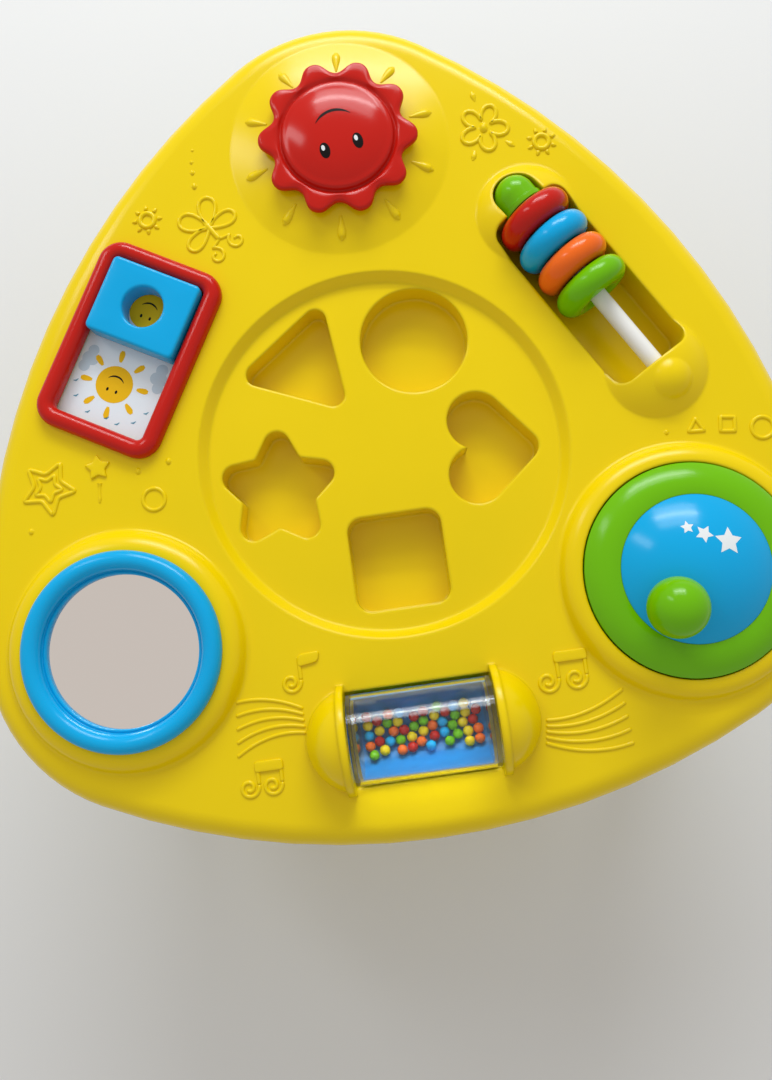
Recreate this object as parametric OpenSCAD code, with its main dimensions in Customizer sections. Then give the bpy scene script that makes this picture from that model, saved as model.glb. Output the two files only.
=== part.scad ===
// Musical activity table: a moulded three-cornered top on three legs, with six play stations
// round a dish of shape wells. Millimetres, +Z up, floor at z = 0, the sun corner towards +Y.

/* [Table] */
// Height of the flat deck above the floor
deck_z = 255; // [235:1:300]
// Unit of the outline: its arcs have their centres at 40 and 51 units, 79 units apart
outline_unit = 4.275; // [4.25:0.005:4.3]
// Radius of each corner arc
corner_r = 107.5; // [107:0.5:110]
// How far the play stations are shifted towards the sun corner
play_y = 3; // [0:0.5:4]
// Wall of the moulded top
wall = 3; // [2.8:0.1:3.2]
// Radius of the rounded edge between the deck and the skirt
edge_r = 15; // [13:0.5:16]
// Depth of the skirt below the deck
skirt_h = 38; // [38:1:42]
// How far the skirt leans out from its rounded edge to its lower rim
skirt_flare = 1.5; // [1:0.1:2]

/* [Stations] */
// Distance from the middle of the dish to the three corner stations
corner_station = 192; // [191:0.5:193]
// Distance from the middle of the dish to the picture slider and the roller
side_station = 165.5; // [164:0.5:166]
// Distance from the middle of the dish to the bead rail
rail_station = 159; // [158:0.5:160]

/* [Dish and shape wells] */
// Radius of the dish at deck level
dish_r = 111.3; // [110:0.1:112]
// Radius of the dish floor
dish_floor_r = 106; // [105:0.1:107]
// Depth of the dish at its edge
dish_depth = 6; // [5:0.5:7]
// Rise of the dish floor from its edge to its middle
dish_rise = 3; // [2:0.5:3.5]
// Depth of the wells below the edge of the dish floor
well_depth = 18; // [16:1:19]
// Radius of the round well
round_well_r = 32.7; // [31:0.1:33]
// Width of the square well
square_well_w = 56.5; // [54:0.5:57]
// Distance from the middle of the three-sided well to its corners
triangle_well_r = 35; // [33:0.5:36]
// Distance from the middle of the star well to its points
star_well_r = 35.5; // [33:0.5:36]
// Radius of each lobe of the heart well
heart_lobe_r = 17.5; // [16.5:0.5:18]

/* [Sun button] */
// Radius of the mound that carries the button
mound_r = 68; // [66:0.5:68.5]
// Height of that mound
mound_h = 10; // [9:0.5:10.5]
// Distance from the middle of the button to the tips of its rays
sun_tip_r = 48.5; // [47:0.5:49]
// Number of rays
sun_rays = 10; // [8:1:12]
// Radius of the dome in the middle of the button
sun_dome_r = 34; // [32:0.5:34.5]
// How far the button goes down when pressed
sun_travel = 3; // [2:0.5:3]

/* [Picture slider] */
// Width of the red frame, across the sliding direction
frame_w = 80; // [79:0.5:80.5]
// Length of the red frame
frame_l = 121.5; // [120:0.5:122]
// Width of the frame's bars
frame_bar = 11; // [10.6:0.1:11.2]
// Height of the frame above the deck
frame_h = 8; // [7:0.5:9]
// Length of the sliding block
block_l = 47.5; // [44:0.5:49]
// Height of the block's top face above the deck
block_top = 11; // [9:0.5:12]
// Radius of the finger hole in the block
finger_hole_r = 12.5; // [11:0.5:13]

/* [Mirror] */
// Outer radius of the mirror's ring
mirror_ring_r = 58.8; // [58:0.1:59]
// Radius of the mirror that the ring leaves in view
mirror_view_r = 44.8; // [44:0.1:45]

/* [Spinner] */
// Radius of the spinner's lower ring
spinner_r = 62; // [61:0.1:62.1]
// Radius of the dome on it
spinner_dome_r = 42.5; // [41:0.1:43]
// Height of the top of the dome above the deck
spinner_dome_top = 32; // [30:0.5:34]
// Radius of the ball knob
knob_r = 17; // [16:0.5:17.5]
// Distance from the spinner's axis to the knob
knob_at = 28; // [26:0.5:28.5]

/* [Bead rail] */
// Radius of the rod
rod_r = 5.2; // [4.8:0.1:5.4]
// Height of the rod's axis above the deck
rod_z = 3; // [2.5:0.1:3.5]
// Outer radius of the rings
ring_r = 23.3; // [22.5:0.1:24]
// Thickness of a ring
ring_t = 16.8; // [16:0.1:17]
// Distance between the rings' centres when they are together
ring_pitch = 17.7; // [17.4:0.1:17.8]
// Width of the pocket that the rings turn in
pocket_w = 52; // [51:0.5:53]
// Depth of that pocket
pocket_d = 24; // [23:0.5:25]

/* [Roller] */
// Radius of the clear drum
drum_r = 26; // [25:0.5:26]
// Length of the drum
drum_l = 83; // [81:0.5:83.5]
// Height of the drum's axis above the deck
drum_z = 4; // [3:0.5:5]
// Radius of a loose bead
bead_r = 3.1; // [2.6:0.1:3.1]

/* [Legs] */
// Distance from the middle of the outline to the legs
leg_at = 232; // [228:1:234]
// Radius of a leg below its shoulder
leg_r = 17; // [16:0.5:18]

/* [Hidden] */
$fn = 96;

yellow = "gold";
blue = "deepskyblue";

eps = 0.01;              // overlap that merges pieces of one moulding
root = 2;                // how deep mounds and collars stand in the deck plate
fit = 0.05;              // radial play of a running fit

// plan outline: a corner arc and a side arc, tangent to each other, three times round;
// 40, 51 and 79 are whole sides of a triangle with an angle of 120 degrees between the first two
corner_at = 40 * outline_unit;
side_back = 51 * outline_unit;
corner_turn = atan2(side_back * sin(60), corner_at + side_back * cos(60));
side_turn = 60 - corner_turn;
side_r = corner_r + 79 * outline_unit;
side_centre = side_back * [cos(30), -sin(30)];
corner_reach = corner_at + corner_r;
side_reach = side_r - side_back;
plan_y = (side_reach - corner_reach) / 2;    // puts the origin under the middle of the box

// stations, as angles round the middle of the dish
sun_a = 90;
slider_a = 150;
mirror_a = 210;
roller_a = 270;
spinner_a = 330;
rail_a = 30;

// dish and wells
dome_r = (dish_floor_r ^ 2 + dish_rise ^ 2) / (2 * dish_rise);
well_z = -dish_depth - well_depth;
well_wall = 2.5;
round_well_at = [28, 66];
square_well_at = [0, -65.6];
triangle_well_at = [-41.5, 62];
star_well_at = [-65.5, -13];
heart_well_at = [65, -6];

// cover, screws and ribs
cover_t = 3.5;
cover_top = -skirt_h + 4;
boss_r = 4.5;
screw_r = 1.5;
inner_boss_at = 140;
outer_boss_at = 225;
rib_t = 2;
socket_r = 18.5;
socket_h = 22;

// sun button
mound_sphere = (mound_r ^ 2 + mound_h ^ 2) / (2 * mound_h);
sun_well_r = 38;
sun_well_z = -3;
sun_rim_z = mound_h - mound_sphere + sqrt(mound_sphere ^ 2 - sun_well_r ^ 2) + sun_travel + 0.68;
sun_face_z = 15.2;
sun_top_z = 22;
sun_dome_sphere = 92;
sun_ray_turn = 12;
sun_ray_h = 7.8;
stem_r = 4;
stem_flange_z = 8;
board_z = -20.2;
board_t = 1.6;

// picture slider
window_w = frame_w - 2 * frame_bar;
window_l = frame_l - 2 * frame_bar;
tray_z = -5.4;
card_t = 1.2;
block_w = window_w - 1;
block_play = 0.4;
block_corner = 3.2;
slider_shift = [0.6, -1.3];
flange_w = window_w + 2.2;
flange_t = 2.2;
lip_z = -1.2;

// mirror
mirror_top_r = 59;
mirror_collar_h = 10;
mirror_r = 47.2;
mirror_floor = 4;
mirror_t = 2.5;

// spinner
spinner_collar_r = 64;
spinner_floor = -4;
axle_r = 5;
hub_r = 9;
dome_seat = 13.5;
dome_foot = 17;
spinner_rise = spinner_dome_top - dome_foot;
spinner_sphere = (spinner_dome_r ^ 2 + spinner_rise ^ 2) / (2 * spinner_rise);
knob_z = 38;
knob_turn = -105;        // where the knob stands at rest, from the outward direction

// bead rail, along the local y axis
rail_low = -59;
rail_high = 64;
rail_mound_at = 61;
rail_mound_r = 31;
rail_mound_h = 12;
rail_sphere = (rail_mound_r ^ 2 + rail_mound_h ^ 2) / (2 * rail_mound_h);
rod_boss_at = -70;
rod_boss_r = 17;
head_r = 12.5;
head_at = 72.5;
trough_r = head_r + 1.4;
peg_floor = rod_z - trough_r;
first_ring = 53.8;

// roller, along the local y axis
bay_r = drum_r + 2;
bay_l = drum_l + 2;
end_dome_r = 30.5;
end_dome_at = 38;
end_rib_r = 32;
end_rib_t = 4.5;
bearing_t = 3.5;
drum_wall = 2;
lining_t = 1;
pin_r = 3;
bead_ring = drum_r - drum_wall - lining_t - 0.45 - bead_r;

// legs
shoulder_t = 5;
foot_t = 4;
leg_top = deck_z - skirt_h + 0.5;

// underside
battery_at = 160;
battery_r = 7.2;
battery_l = 50;
bay_w = 48;
bay_len = 57;
bay_top = -17;
speaker_y = 145;
speaker_r = 24;
power_at = 114;

// ---------------------------------------------------------------- placing

module deck() translate([0, plan_y, deck_z]) children();

module play() translate([0, play_y, 0]) children();

// a station's own frame: x points outwards, y runs anticlockwise round the table
module station(angle, distance) play() rotate(angle) translate([distance, 0, 0]) children();

module slider_place() station(slider_a, side_station + slider_shift.x)
    translate([0, slider_shift.y, 0]) children();

module each_boss() for (k = [0:5], at = [inner_boss_at, outer_boss_at]) rotate(60 * k)
    translate([at, 0, 0]) children();

function leg_angle(k) = 90 + 120 * k;

module leg_place(k) rotate(leg_angle(k)) translate([leg_at, 0, 0]) children();

// ---------------------------------------------------------------- plan outline

function turned(p, a) = [p.x * cos(a) - p.y * sin(a), p.x * sin(a) + p.y * cos(a)];
function arc(c, r, from, to, steps) =
    [for (i = [0:steps - 1]) let (a = from + (to - from) * i / steps) c + r * [cos(a), sin(a)]];
function third(inset) = concat(
    arc([0, corner_at], corner_r - inset, 90 - corner_turn, 90 + corner_turn, 14),
    arc(side_centre, side_r - inset, 150 - side_turn, 150 + side_turn, 14));
function plan(inset) = [for (k = [0:2], p = third(inset)) turned(p, 120 * k)];

// the moulding's section, from the deck over the rounded edge, down the skirt and back up inside:
// how far each point lies inside the outline, and its height
function rounding(r, from, to, steps) = [for (i = [0:steps]) let (a = from + (to - from) * i / steps)
    [edge_r - r * sin(a), r * cos(a) - edge_r]];
section = concat(
    rounding(edge_r, 0, 90, 8),
    [[-skirt_flare, -skirt_h], [wall - skirt_flare, -skirt_h]],
    rounding(edge_r - wall, 90, 0, 6));

// deck plate, rounded edge and skirt in one, with the section carried round the outline
module moulding() {
    n = len(plan(0));
    rows = len(section);
    polyhedron(
        points = [for (s = section, p = plan(s[0])) [p.x, p.y, s[1]]],
        faces = concat(
            [[for (i = [n - 1:-1:0]) i]],
            [[for (i = [0:n - 1]) (rows - 1) * n + i]],
            [for (r = [0:rows - 2], i = [0:n - 1]) let (j = (i + 1) % n)
                [r * n + i, r * n + j, (r + 1) * n + j, (r + 1) * n + i]]
        ));
}

// ---------------------------------------------------------------- shape wells

module round_well(grow = 0) circle(round_well_r + grow);

module square_well(grow = 0, round = 9)
    offset(r = round + grow, $fn = 32) square(square_well_w - 2 * round, center = true);

module triangle_well(grow = 0, round = 7)
    offset(r = round + grow, $fn = 32) rotate(66) circle(triangle_well_r - round, $fn = 3);

module star_well(grow = 0, round = 8, hollow = 3) rotate(13) offset(r = -hollow, $fn = 32)
    offset(r = round + hollow + grow, $fn = 32) polygon([
        for (k = [0:9]) (k % 2 == 0 ? star_well_r - round : star_well_r * 0.4) * [cos(36 * k), sin(36 * k)]
    ]);

module heart_well(grow = 0) rotate(-6) for (s = [-1, 1]) hull() {
    translate([-9, s * 16.5]) circle(heart_lobe_r + grow, $fn = 48);
    translate([19, 0]) circle(9 + grow, $fn = 48);
}

// the five wells, each drawn from its floor upwards to a given height
module wells(grow, low, high) play() translate([0, 0, low]) {
    translate(round_well_at) linear_extrude(high - low) round_well(grow);
    translate(square_well_at) linear_extrude(high - low) square_well(grow);
    translate(triangle_well_at) linear_extrude(high - low) triangle_well(grow);
    translate(star_well_at) linear_extrude(high - low) star_well(grow);
    translate(heart_well_at) linear_extrude(high - low) heart_well(grow);
}

// ---------------------------------------------------------------- the moulded top

// part of a ball cap, from its base plane upwards, as a profile
module cap_profile(r, h, sphere, under) intersection() {
    translate([0, h - sphere]) circle(sphere, $fn = 720);
    translate([0, -under]) square([r, h + under]);
}

module sun_mound() rotate_extrude() cap_profile(mound_r, mound_h, mound_sphere, root);

module sun_mound_hollow() translate([0, 0, -wall]) rotate_extrude()
    cap_profile(mound_r - wall, mound_h, mound_sphere, eps);

module sun_cup() {
    translate([0, 0, sun_well_z - 2.5]) cylinder(h = 10.5, r = sun_well_r + 2.5);
    translate([0, 0, -11]) cylinder(h = 9, r = stem_r + 3);
}

module sun_cup_cut() {
    translate([0, 0, sun_well_z]) cylinder(h = 20, r = sun_well_r);
    translate([0, 0, -12]) cylinder(h = 12, r = stem_r + fit);
}

// raised collar: a rounded outer shoulder runs into a hollow foot that ends just below the deck
module collar(top_r, shoulder, height, foot = 4) {
    foot_z = foot - 0.25;
    rise = foot_z - height + shoulder;
    lean = asin(rise / (shoulder + foot));
    foot_x = top_r + (shoulder + foot) * cos(lean);
    rotate_extrude() polygon(concat(
        [[0, -root], [0, height]],
        arc([top_r, height - shoulder], shoulder, 90, lean, 7),
        arc([foot_x, foot_z], foot, 180 + lean, 265, 5),
        [[foot_x - 0.6, -0.3], [foot_x - 0.6, -root]]
    ));
}

module mirror_cut() {
    translate([0, 0, mirror_floor]) cylinder(h = 20, r = mirror_r + 0.3);
    translate([0, 0, -wall - 1]) cylinder(h = mirror_floor + 1, r = mirror_r - 4);
    rotate_extrude() translate([52.5, -wall - 1]) square([8, 8]);
}

module spinner_pan() {
    translate([0, 0, spinner_floor - wall]) cylinder(h = 6, r = spinner_r + 4);
    translate([0, 0, -15.3]) cylinder(h = 12, r = hub_r);
    for (k = [0:5]) rotate(60 * k) translate([0, -rib_t / 2, -12]) cube([spinner_r, rib_t, 9]);
}

module spinner_cut() {
    translate([0, 0, spinner_floor]) cylinder(h = 20, r = spinner_r + 0.8);
    translate([0, 0, -16]) cylinder(h = 15, r = axle_r + fit);
}

// mounds at both ends of the rail, with a boss over the rod's far end
module rail_mounds() {
    for (s = [-1, 1]) translate([0, s * rail_mound_at, 0])
        rotate_extrude() cap_profile(rail_mound_r, rail_mound_h, rail_sphere, root);
    intersection() {
        translate([0, rod_boss_at, -3]) sphere(rod_boss_r);
        translate([-40, -100, -root]) cube([80, 60, 40]);
    }
}

module rail_mound_hollows() for (s = [-1, 1]) translate([0, s * rail_mound_at, -wall])
    rotate_extrude() cap_profile(rail_mound_r - wall, rail_mound_h, rail_sphere, eps);

// along the rail, a lying cylinder from one y to another at the rod's height
module along_rail(r, from, to) translate([0, from, rod_z]) rotate([-90, 0, 0])
    cylinder(h = to - from, r = r);

module rail_pan() {
    translate([-pocket_w / 2 - 2.5, rail_low - 2.5, -pocket_d - 2.5])
        cube([pocket_w + 5, rail_high - rail_low + 5, pocket_d + 1]);
    intersection() {
        rail_mounds();
        union() {
            translate([-pocket_w / 2 - 2.5, rail_low - 8, -wall])
                cube([pocket_w + 5, rail_high - rail_low + 10.5, 30]);
            translate([-trough_r - 2.5, rail_high - 1, -wall]) cube([2 * trough_r + 5, 40, 30]);
        }
    }
    intersection() {
        along_rail(trough_r + 2.5, rail_high - 1, head_at + trough_r + 2.5);
        translate([-40, 0, -30]) cube([80, 100, 29]);
    }
    translate([0, head_at, peg_floor - 6]) cylinder(h = 6, r = 6.5);
}

module rail_cut() {
    translate([-pocket_w / 2, rail_low, -pocket_d]) linear_extrude(60) translate([pocket_w / 2, 0])
        offset(r = 8, $fn = 32) translate([8 - pocket_w / 2, 8])
            square([pocket_w - 16, rail_high - rail_low - 16]);
    along_rail(trough_r, rail_high - 1, head_at);
    translate([0, head_at, rod_z]) sphere(trough_r);
    translate([0, head_at, rod_z]) cylinder(h = 40, r = trough_r);
    translate([-trough_r, rail_high - 1, rod_z]) cube([2 * trough_r, head_at - rail_high + 1, 40]);
    along_rail(rod_r + fit, rail_low - 6, rail_low + 1);
    translate([0, head_at, peg_floor - 8]) cylinder(h = 20, r = 3.5 + fit);
}

// along the roller, a lying cylinder from one y to another at a given height
module along_roller(r, from, to, z) translate([0, from, z]) rotate([-90, 0, 0])
    cylinder(h = to - from, r = r);

module both_ends() for (s = [0, 1]) mirror([0, s, 0]) children();

module roller_domes() both_ends() intersection() {
    union() {
        translate([0, end_dome_at, 0]) sphere(end_dome_r);
        along_roller(end_rib_r, bay_l / 2, bay_l / 2 + end_rib_t, 0);
    }
    translate([-50, bay_l / 2, -root]) cube([100, 60, 60]);
}

module roller_dome_hollows() both_ends() intersection() {
    translate([0, end_dome_at, 0]) sphere(end_dome_r - 2.5);
    translate([-50, bay_l / 2 + bearing_t, -wall - 1]) cube([100, 60, 60]);
}

module roller_pan() intersection() {
    along_roller(bay_r + 2.5, -bay_l / 2 - bearing_t, bay_l / 2 + bearing_t, drum_z);
    translate([-50, -60, -60]) cube([100, 120, 60]);
}

module roller_cut() {
    along_roller(bay_r, -bay_l / 2, bay_l / 2, drum_z);
    translate([-bay_r, -bay_l / 2, drum_z]) cube([2 * bay_r, bay_l, 60]);
    along_roller(pin_r + fit, -bay_l / 2 - 5, bay_l / 2 + 5, drum_z);
}

module slider_pan() translate([-window_w / 2 - 4.5, -window_l / 2 - 4.5, tray_z - 2.5])
    cube([window_w + 9, window_l + 9, 2.5 - tray_z - eps]);

module slider_cut() translate([-window_w / 2 - 1.5, -window_l / 2 - 1.5, tray_z])
    cube([window_w + 3, window_l + 3, 20]);

module deck_bosses() {
    each_boss() translate([0, 0, cover_top]) cylinder(h = -cover_top - 1, r = boss_r);
    for (k = [0:5]) rotate(60 * k) translate([dish_r - 3, -rib_t / 2, -16])
        cube([122, rib_t, 15]);
    for (x = [-24, 24], y = [-14, 14]) board_frame() translate([x, y, board_z + board_t])
        cylinder(h = -board_z - board_t - 1, r = 3);
}

module board_frame() play() translate([0, 181]) children();

module top_shell() color(yellow) deck() difference() {
    union() {
        difference() {
            union() {
                moulding();
                station(sun_a, corner_station) sun_mound();
                station(mirror_a, corner_station) collar(mirror_top_r, 12, mirror_collar_h);
                station(spinner_a, corner_station) collar(spinner_collar_r, 11, 9);
                station(rail_a, rail_station) rail_mounds();
                station(roller_a, side_station) roller_domes();
            }
            station(sun_a, corner_station) sun_mound_hollow();
            station(rail_a, rail_station) rail_mound_hollows();
            station(roller_a, side_station) roller_dome_hollows();
        }
        play() translate([0, 0, -dish_depth - wall]) cylinder(h = dish_depth + wall - eps, r = dish_r + wall);
        wells(well_wall, well_z - well_wall, -dish_depth - 1);
        station(sun_a, corner_station) sun_cup();
        station(spinner_a, corner_station) spinner_pan();
        station(rail_a, rail_station) rail_pan();
        station(roller_a, side_station) roller_pan();
        slider_place() slider_pan();
        deck_bosses();
    }
    play() rotate_extrude() difference() {
        polygon([
            [0, -dish_depth], [dish_floor_r, -dish_depth], [dish_r, 0], [dish_r, 1], [0, 1]
        ]);
        translate([0, dish_rise - dish_depth - dome_r]) circle(dome_r, $fn = 1440);
    }
    wells(0, well_z, 2);
    station(sun_a, corner_station) sun_cup_cut();
    station(mirror_a, corner_station) mirror_cut();
    station(spinner_a, corner_station) spinner_cut();
    station(rail_a, rail_station) rail_cut();
    station(roller_a, side_station) roller_cut();
    slider_place() slider_cut();
    each_boss() translate([0, 0, cover_top - 1]) cylinder(h = 19, r = screw_r);
}

// ---------------------------------------------------------------- underside

module battery_frame() rotate(mirror_a) translate([battery_at, 0, 0]) children();

module door_screw_frame() battery_frame() translate([0, bay_len / 2 + 5, 0]) children();

module speaker_frame() translate([0, speaker_y, 0]) children();

module power_frame() rotate(mirror_a) translate([power_at, 0, 0]) children();

module leg_socket() {
    translate([0, 0, cover_top - eps]) cylinder(h = socket_h, r = socket_r + 2.5);
    for (k = [0:3]) rotate(45 + 90 * k) translate([socket_r + 1, -rib_t / 2, cover_top - eps])
        cube([9, rib_t, 14]);
}

module leg_socket_cut() translate([0, 0, cover_top - cover_t - 1])
    cylinder(h = socket_h + cover_t - 1.5, r = socket_r);

module battery_box() translate([-bay_w / 2 - 2, -bay_len / 2 - 2, cover_top - eps])
    cube([bay_w + 4, bay_len + 4, bay_top - cover_top + 2]);

module battery_box_cut() {
    translate([-bay_w / 2, -bay_len / 2, cover_top - cover_t - 1])
        cube([bay_w, bay_len, bay_top - cover_top + cover_t + 1]);
    translate([-bay_w / 2 - 4, -bay_len / 2 - 4, cover_top - cover_t - 1])
        cube([bay_w + 8, bay_len + 14, 3.2]);
}

module speaker_grille() for (ring = [0:3]) for (k = [0:max(0, 6 * ring - 1)])
    rotate(ring == 0 ? 0 : 60 * k / ring) translate([5 * ring, 0, cover_top - cover_t - 1])
        cylinder(h = cover_t + 2, r = 1.5, $fn = 24);

module bottom_cover() color(yellow) deck() difference() {
    union() {
        translate([0, 0, cover_top - cover_t]) linear_extrude(cover_t) polygon(plan(2.6));
        for (k = [0:2]) leg_place(k) leg_socket();
        battery_frame() battery_box();
        speaker_frame() translate([0, 0, cover_top - eps]) difference() {
            cylinder(h = 6, r = speaker_r + 2.4);
            translate([0, 0, -1]) cylinder(h = 8, r = speaker_r + 0.4);
        }
        for (k = [0:2]) rotate(60 * k) translate([-100, -rib_t / 2, cover_top - eps]) cube([200, rib_t, 5]);
        door_screw_frame() translate([0, 0, cover_top - 1]) cylinder(h = 8, r = boss_r);
        translate([0, 0, cover_top - eps]) difference() {
            cylinder(h = 5, r = 101);
            translate([0, 0, -1]) cylinder(h = 7, r = 99);
        }
    }
    for (k = [0:2]) leg_place(k) leg_socket_cut();
    battery_frame() battery_box_cut();
    speaker_frame() speaker_grille();
    door_screw_frame() translate([0, 0, cover_top - 2]) cylinder(h = 7, r = screw_r);
    power_frame() translate([-8, -3.5, cover_top - cover_t - 1]) cube([16, 7, cover_t + 8]);
    each_boss() translate([0, 0, cover_top - cover_t - 1]) cylinder(h = cover_t + 2, r = screw_r + 0.3);
    each_boss() translate([0, 0, cover_top - cover_t - 1]) cylinder(h = 2.6, r = 3.6);
}

module screw(head_z, length, head_t = 1) {
    translate([0, 0, head_z - 0.1]) cylinder(h = head_t, r = 3);
    translate([0, 0, head_z]) cylinder(h = length, r = screw_r - fit);
}

module cover_screws() color("silver") deck() each_boss() screw(cover_top - cover_t + 0.1, 16);

module battery_door() color(yellow) deck() battery_frame() difference() {
    translate([-bay_w / 2 - 3.6, -bay_len / 2 - 3.6, cover_top - cover_t])
        cube([bay_w + 7.2, bay_len + 13.2, 2]);
    translate([0, bay_len / 2 + 5, cover_top - cover_t - 1]) cylinder(h = 4, r = screw_r + 0.3);
    translate([0, bay_len / 2 + 5, cover_top - cover_t - 1]) cylinder(h = 2, r = 3.4);
    for (k = [-2:2]) translate([k * 8 - 1, -12, cover_top - cover_t - 1]) cube([2, 24, 1.6]);
}

module door_screw() color("silver") deck() door_screw_frame() screw(cover_top - cover_t + 0.1, 8);

module batteries() color("gray") deck() battery_frame() for (k = [-1:1])
    translate([15 * k, bay_len / 2 - 0.7 - battery_l, cover_top - cover_t + 10]) rotate([-90, 0, 0]) {
        cylinder(h = battery_l - 1.2, r = battery_r);
        translate([0, 0, battery_l - 1.3]) cylinder(h = 1.3, r = 2.7);
    }

module battery_contacts() color("silver") deck() battery_frame() {
    for (s = [-1, 1], k = [-1:1]) translate([15 * k - 5, s > 0 ? bay_len / 2 - 0.6 : -bay_len / 2, -33])
        cube([10, 0.6, 14]);
    for (k = [-1:1]) translate([15 * k, -bay_len / 2 + 0.5, cover_top - cover_t + 10]) rotate([-90, 0, 0])
        coil(3, 4, 2.5, 0.5, 5.1, 0.5);
}

module speaker() color("dimgray") deck() speaker_frame() rotate_extrude() polygon([
    [0, -26], [14, -32], [21, -33.9], [speaker_r, -33.9], [speaker_r, -31], [16, -26], [16, -21], [0, -21]
]);

module circuit_board() color("seagreen") deck() board_frame() {
    translate([-30, -20, board_z]) cube([60, 40, board_t]);
    translate([-18, -12, board_z - 2]) cube([12, 9, 2 + eps]);
    translate([8, -12, board_z - 1.4]) cylinder(h = 1.4 + eps, r = 5);
    translate([16, 2, board_z - 3]) cube([8, 6, 3 + eps]);
}

module button_switch() color("dimgray") deck() station(sun_a, corner_station) {
    translate([-3, -3, board_z + board_t]) cube([6, 6, 2.6]);
    translate([0, 0, board_z + board_t + 2.5]) cylinder(h = 0.7, r = 1.7);
}

module switch_housing() color("dimgray") deck() power_frame() difference() {
    translate([-11, -6, cover_top]) cube([22, 12, 5]);
    translate([-8, -3.5, cover_top - 1]) cube([16, 7, 4]);
}

module power_switch() color("dimgray") deck() power_frame() {
    translate([-7, -3, cover_top + 0.2]) cube([8, 6, 2.4]);
    translate([-5, -2, cover_top - cover_t - 1]) cube([4, 4, cover_t + 1.3]);
}

// ---------------------------------------------------------------- legs

module leg(k) color(blue) translate([0, plan_y, 0]) leg_place(k) rotate_extrude() difference() {
    polygon([
        [0, foot_t], [16, foot_t], [19, foot_t + 5], [19, 14], [leg_r - 2.5, 24],
        [leg_r - 2.5, 110], [leg_r, 114], [leg_r, 122], [leg_r - 1.5, 126],
        [leg_r, leg_top - 20], [21, leg_top - shoulder_t - 4], [25, leg_top - shoulder_t], [25, leg_top],
        [socket_r - 0.15, leg_top], [socket_r - 0.15, leg_top + socket_h - 1],
        [socket_r - 2, leg_top + socket_h],
        [0, leg_top + socket_h]
    ]);
    translate([-eps, foot_t - 1]) square([11.5, leg_top + 12]);
}

module foot(k) color("dimgray") translate([0, plan_y, 0]) leg_place(k) rotate_extrude() polygon([
    [0, 0], [15, 0], [16.5, 1.5], [16.5, foot_t], [11.3, foot_t], [11.3, foot_t + 6], [0, foot_t + 6]
]);

// ---------------------------------------------------------------- sun button

module sun_outline() polygon([
    for (i = [0:12 * sun_rays - 1]) let (a = sun_ray_turn + 30 * i / sun_rays)
        (sun_tip_r - sun_ray_h * (1 - cos(30 * i)) / 2) * [cos(a), sin(a)]
]);

// the upper face: a rim that falls away, a groove, and a dome
module sun_face() rotate_extrude() {
    intersection() {
        translate([sun_dome_r, sun_face_z - 45]) circle(45, $fn = 360);
        translate([sun_dome_r, sun_rim_z]) square([sun_tip_r - sun_dome_r + 1, 10]);
    }
    translate([0, sun_rim_z]) square([sun_dome_r, sun_face_z - sun_rim_z]);
}

module sun_dome() rotate_extrude() difference() {
    cap_profile(sun_dome_r, sun_top_z, sun_dome_sphere, 0);
    square([sun_dome_r + 1, sun_face_z - 1]);
}

module sun_cap() color("red") deck() station(sun_a, corner_station) difference() {
    union() {
        intersection() {
            translate([0, 0, sun_rim_z]) linear_extrude(10) sun_outline();
            difference() {
                sun_face();
                rotate_extrude() translate([sun_dome_r + 1, sun_face_z + 1.6]) circle(2.6, $fn = 48);
            }
        }
        sun_dome();
        translate([0, 0, 0.6]) cylinder(h = sun_rim_z, r = sun_well_r - 0.6);
    }
    translate([0, 0, -1]) cylinder(h = 14, r = sun_well_r - 2.8);
}

module sun_stem() color("white") deck() station(sun_a, corner_station) {
    translate([0, 0, stem_flange_z]) cylinder(h = 5, r = 11);
    translate([0, 0, -12.2]) cylinder(h = 12.2 + stem_flange_z + eps, r = stem_r);
}

// a wire wound into a coil: from one radius and height to another, swept as one tube
module coil(turns, r_low, r_high, low, high, wire, steps = 16, sides = 6) {
    last = turns * steps;
    polyhedron(
        points = [for (i = [0:last], j = [0:sides - 1]) let (
                t = i / last, a = 360 * turns * t, b = 360 * j / sides,
                r = r_low + (r_high - r_low) * t + wire * cos(b)
            ) [r * cos(a), r * sin(a), low + (high - low) * t + wire * sin(b)]],
        faces = concat(
            [[for (j = [sides - 1:-1:0]) j]],
            [[for (j = [0:sides - 1]) last * sides + j]],
            [for (i = [0:last - 1], j = [0:sides - 1]) let (n = (j + 1) % sides)
                each [[i * sides + j, (i + 1) * sides + n, (i + 1) * sides + j],
                      [i * sides + j, i * sides + n, (i + 1) * sides + n]]]
        ));
}

module sun_spring() color("silver") deck() station(sun_a, corner_station)
    coil(5, 8.4, 8.4, sun_well_z + 0.7, stem_flange_z - 0.7, 0.6);

// ---------------------------------------------------------------- picture slider

module bar_section() {
    translate([-frame_bar / 2, 0]) square([frame_bar, frame_h - frame_bar / 2]);
    intersection() {
        translate([0, frame_h - frame_bar / 2]) circle(frame_bar / 2);
        translate([-frame_bar / 2, 0]) square(frame_bar);
    }
}

// one run of the frame's bar, laid along y and standing at x = 0
module straight_bar(length) translate([0, length / 2, 0]) rotate([90, 0, 0])
    linear_extrude(length) bar_section();

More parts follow.
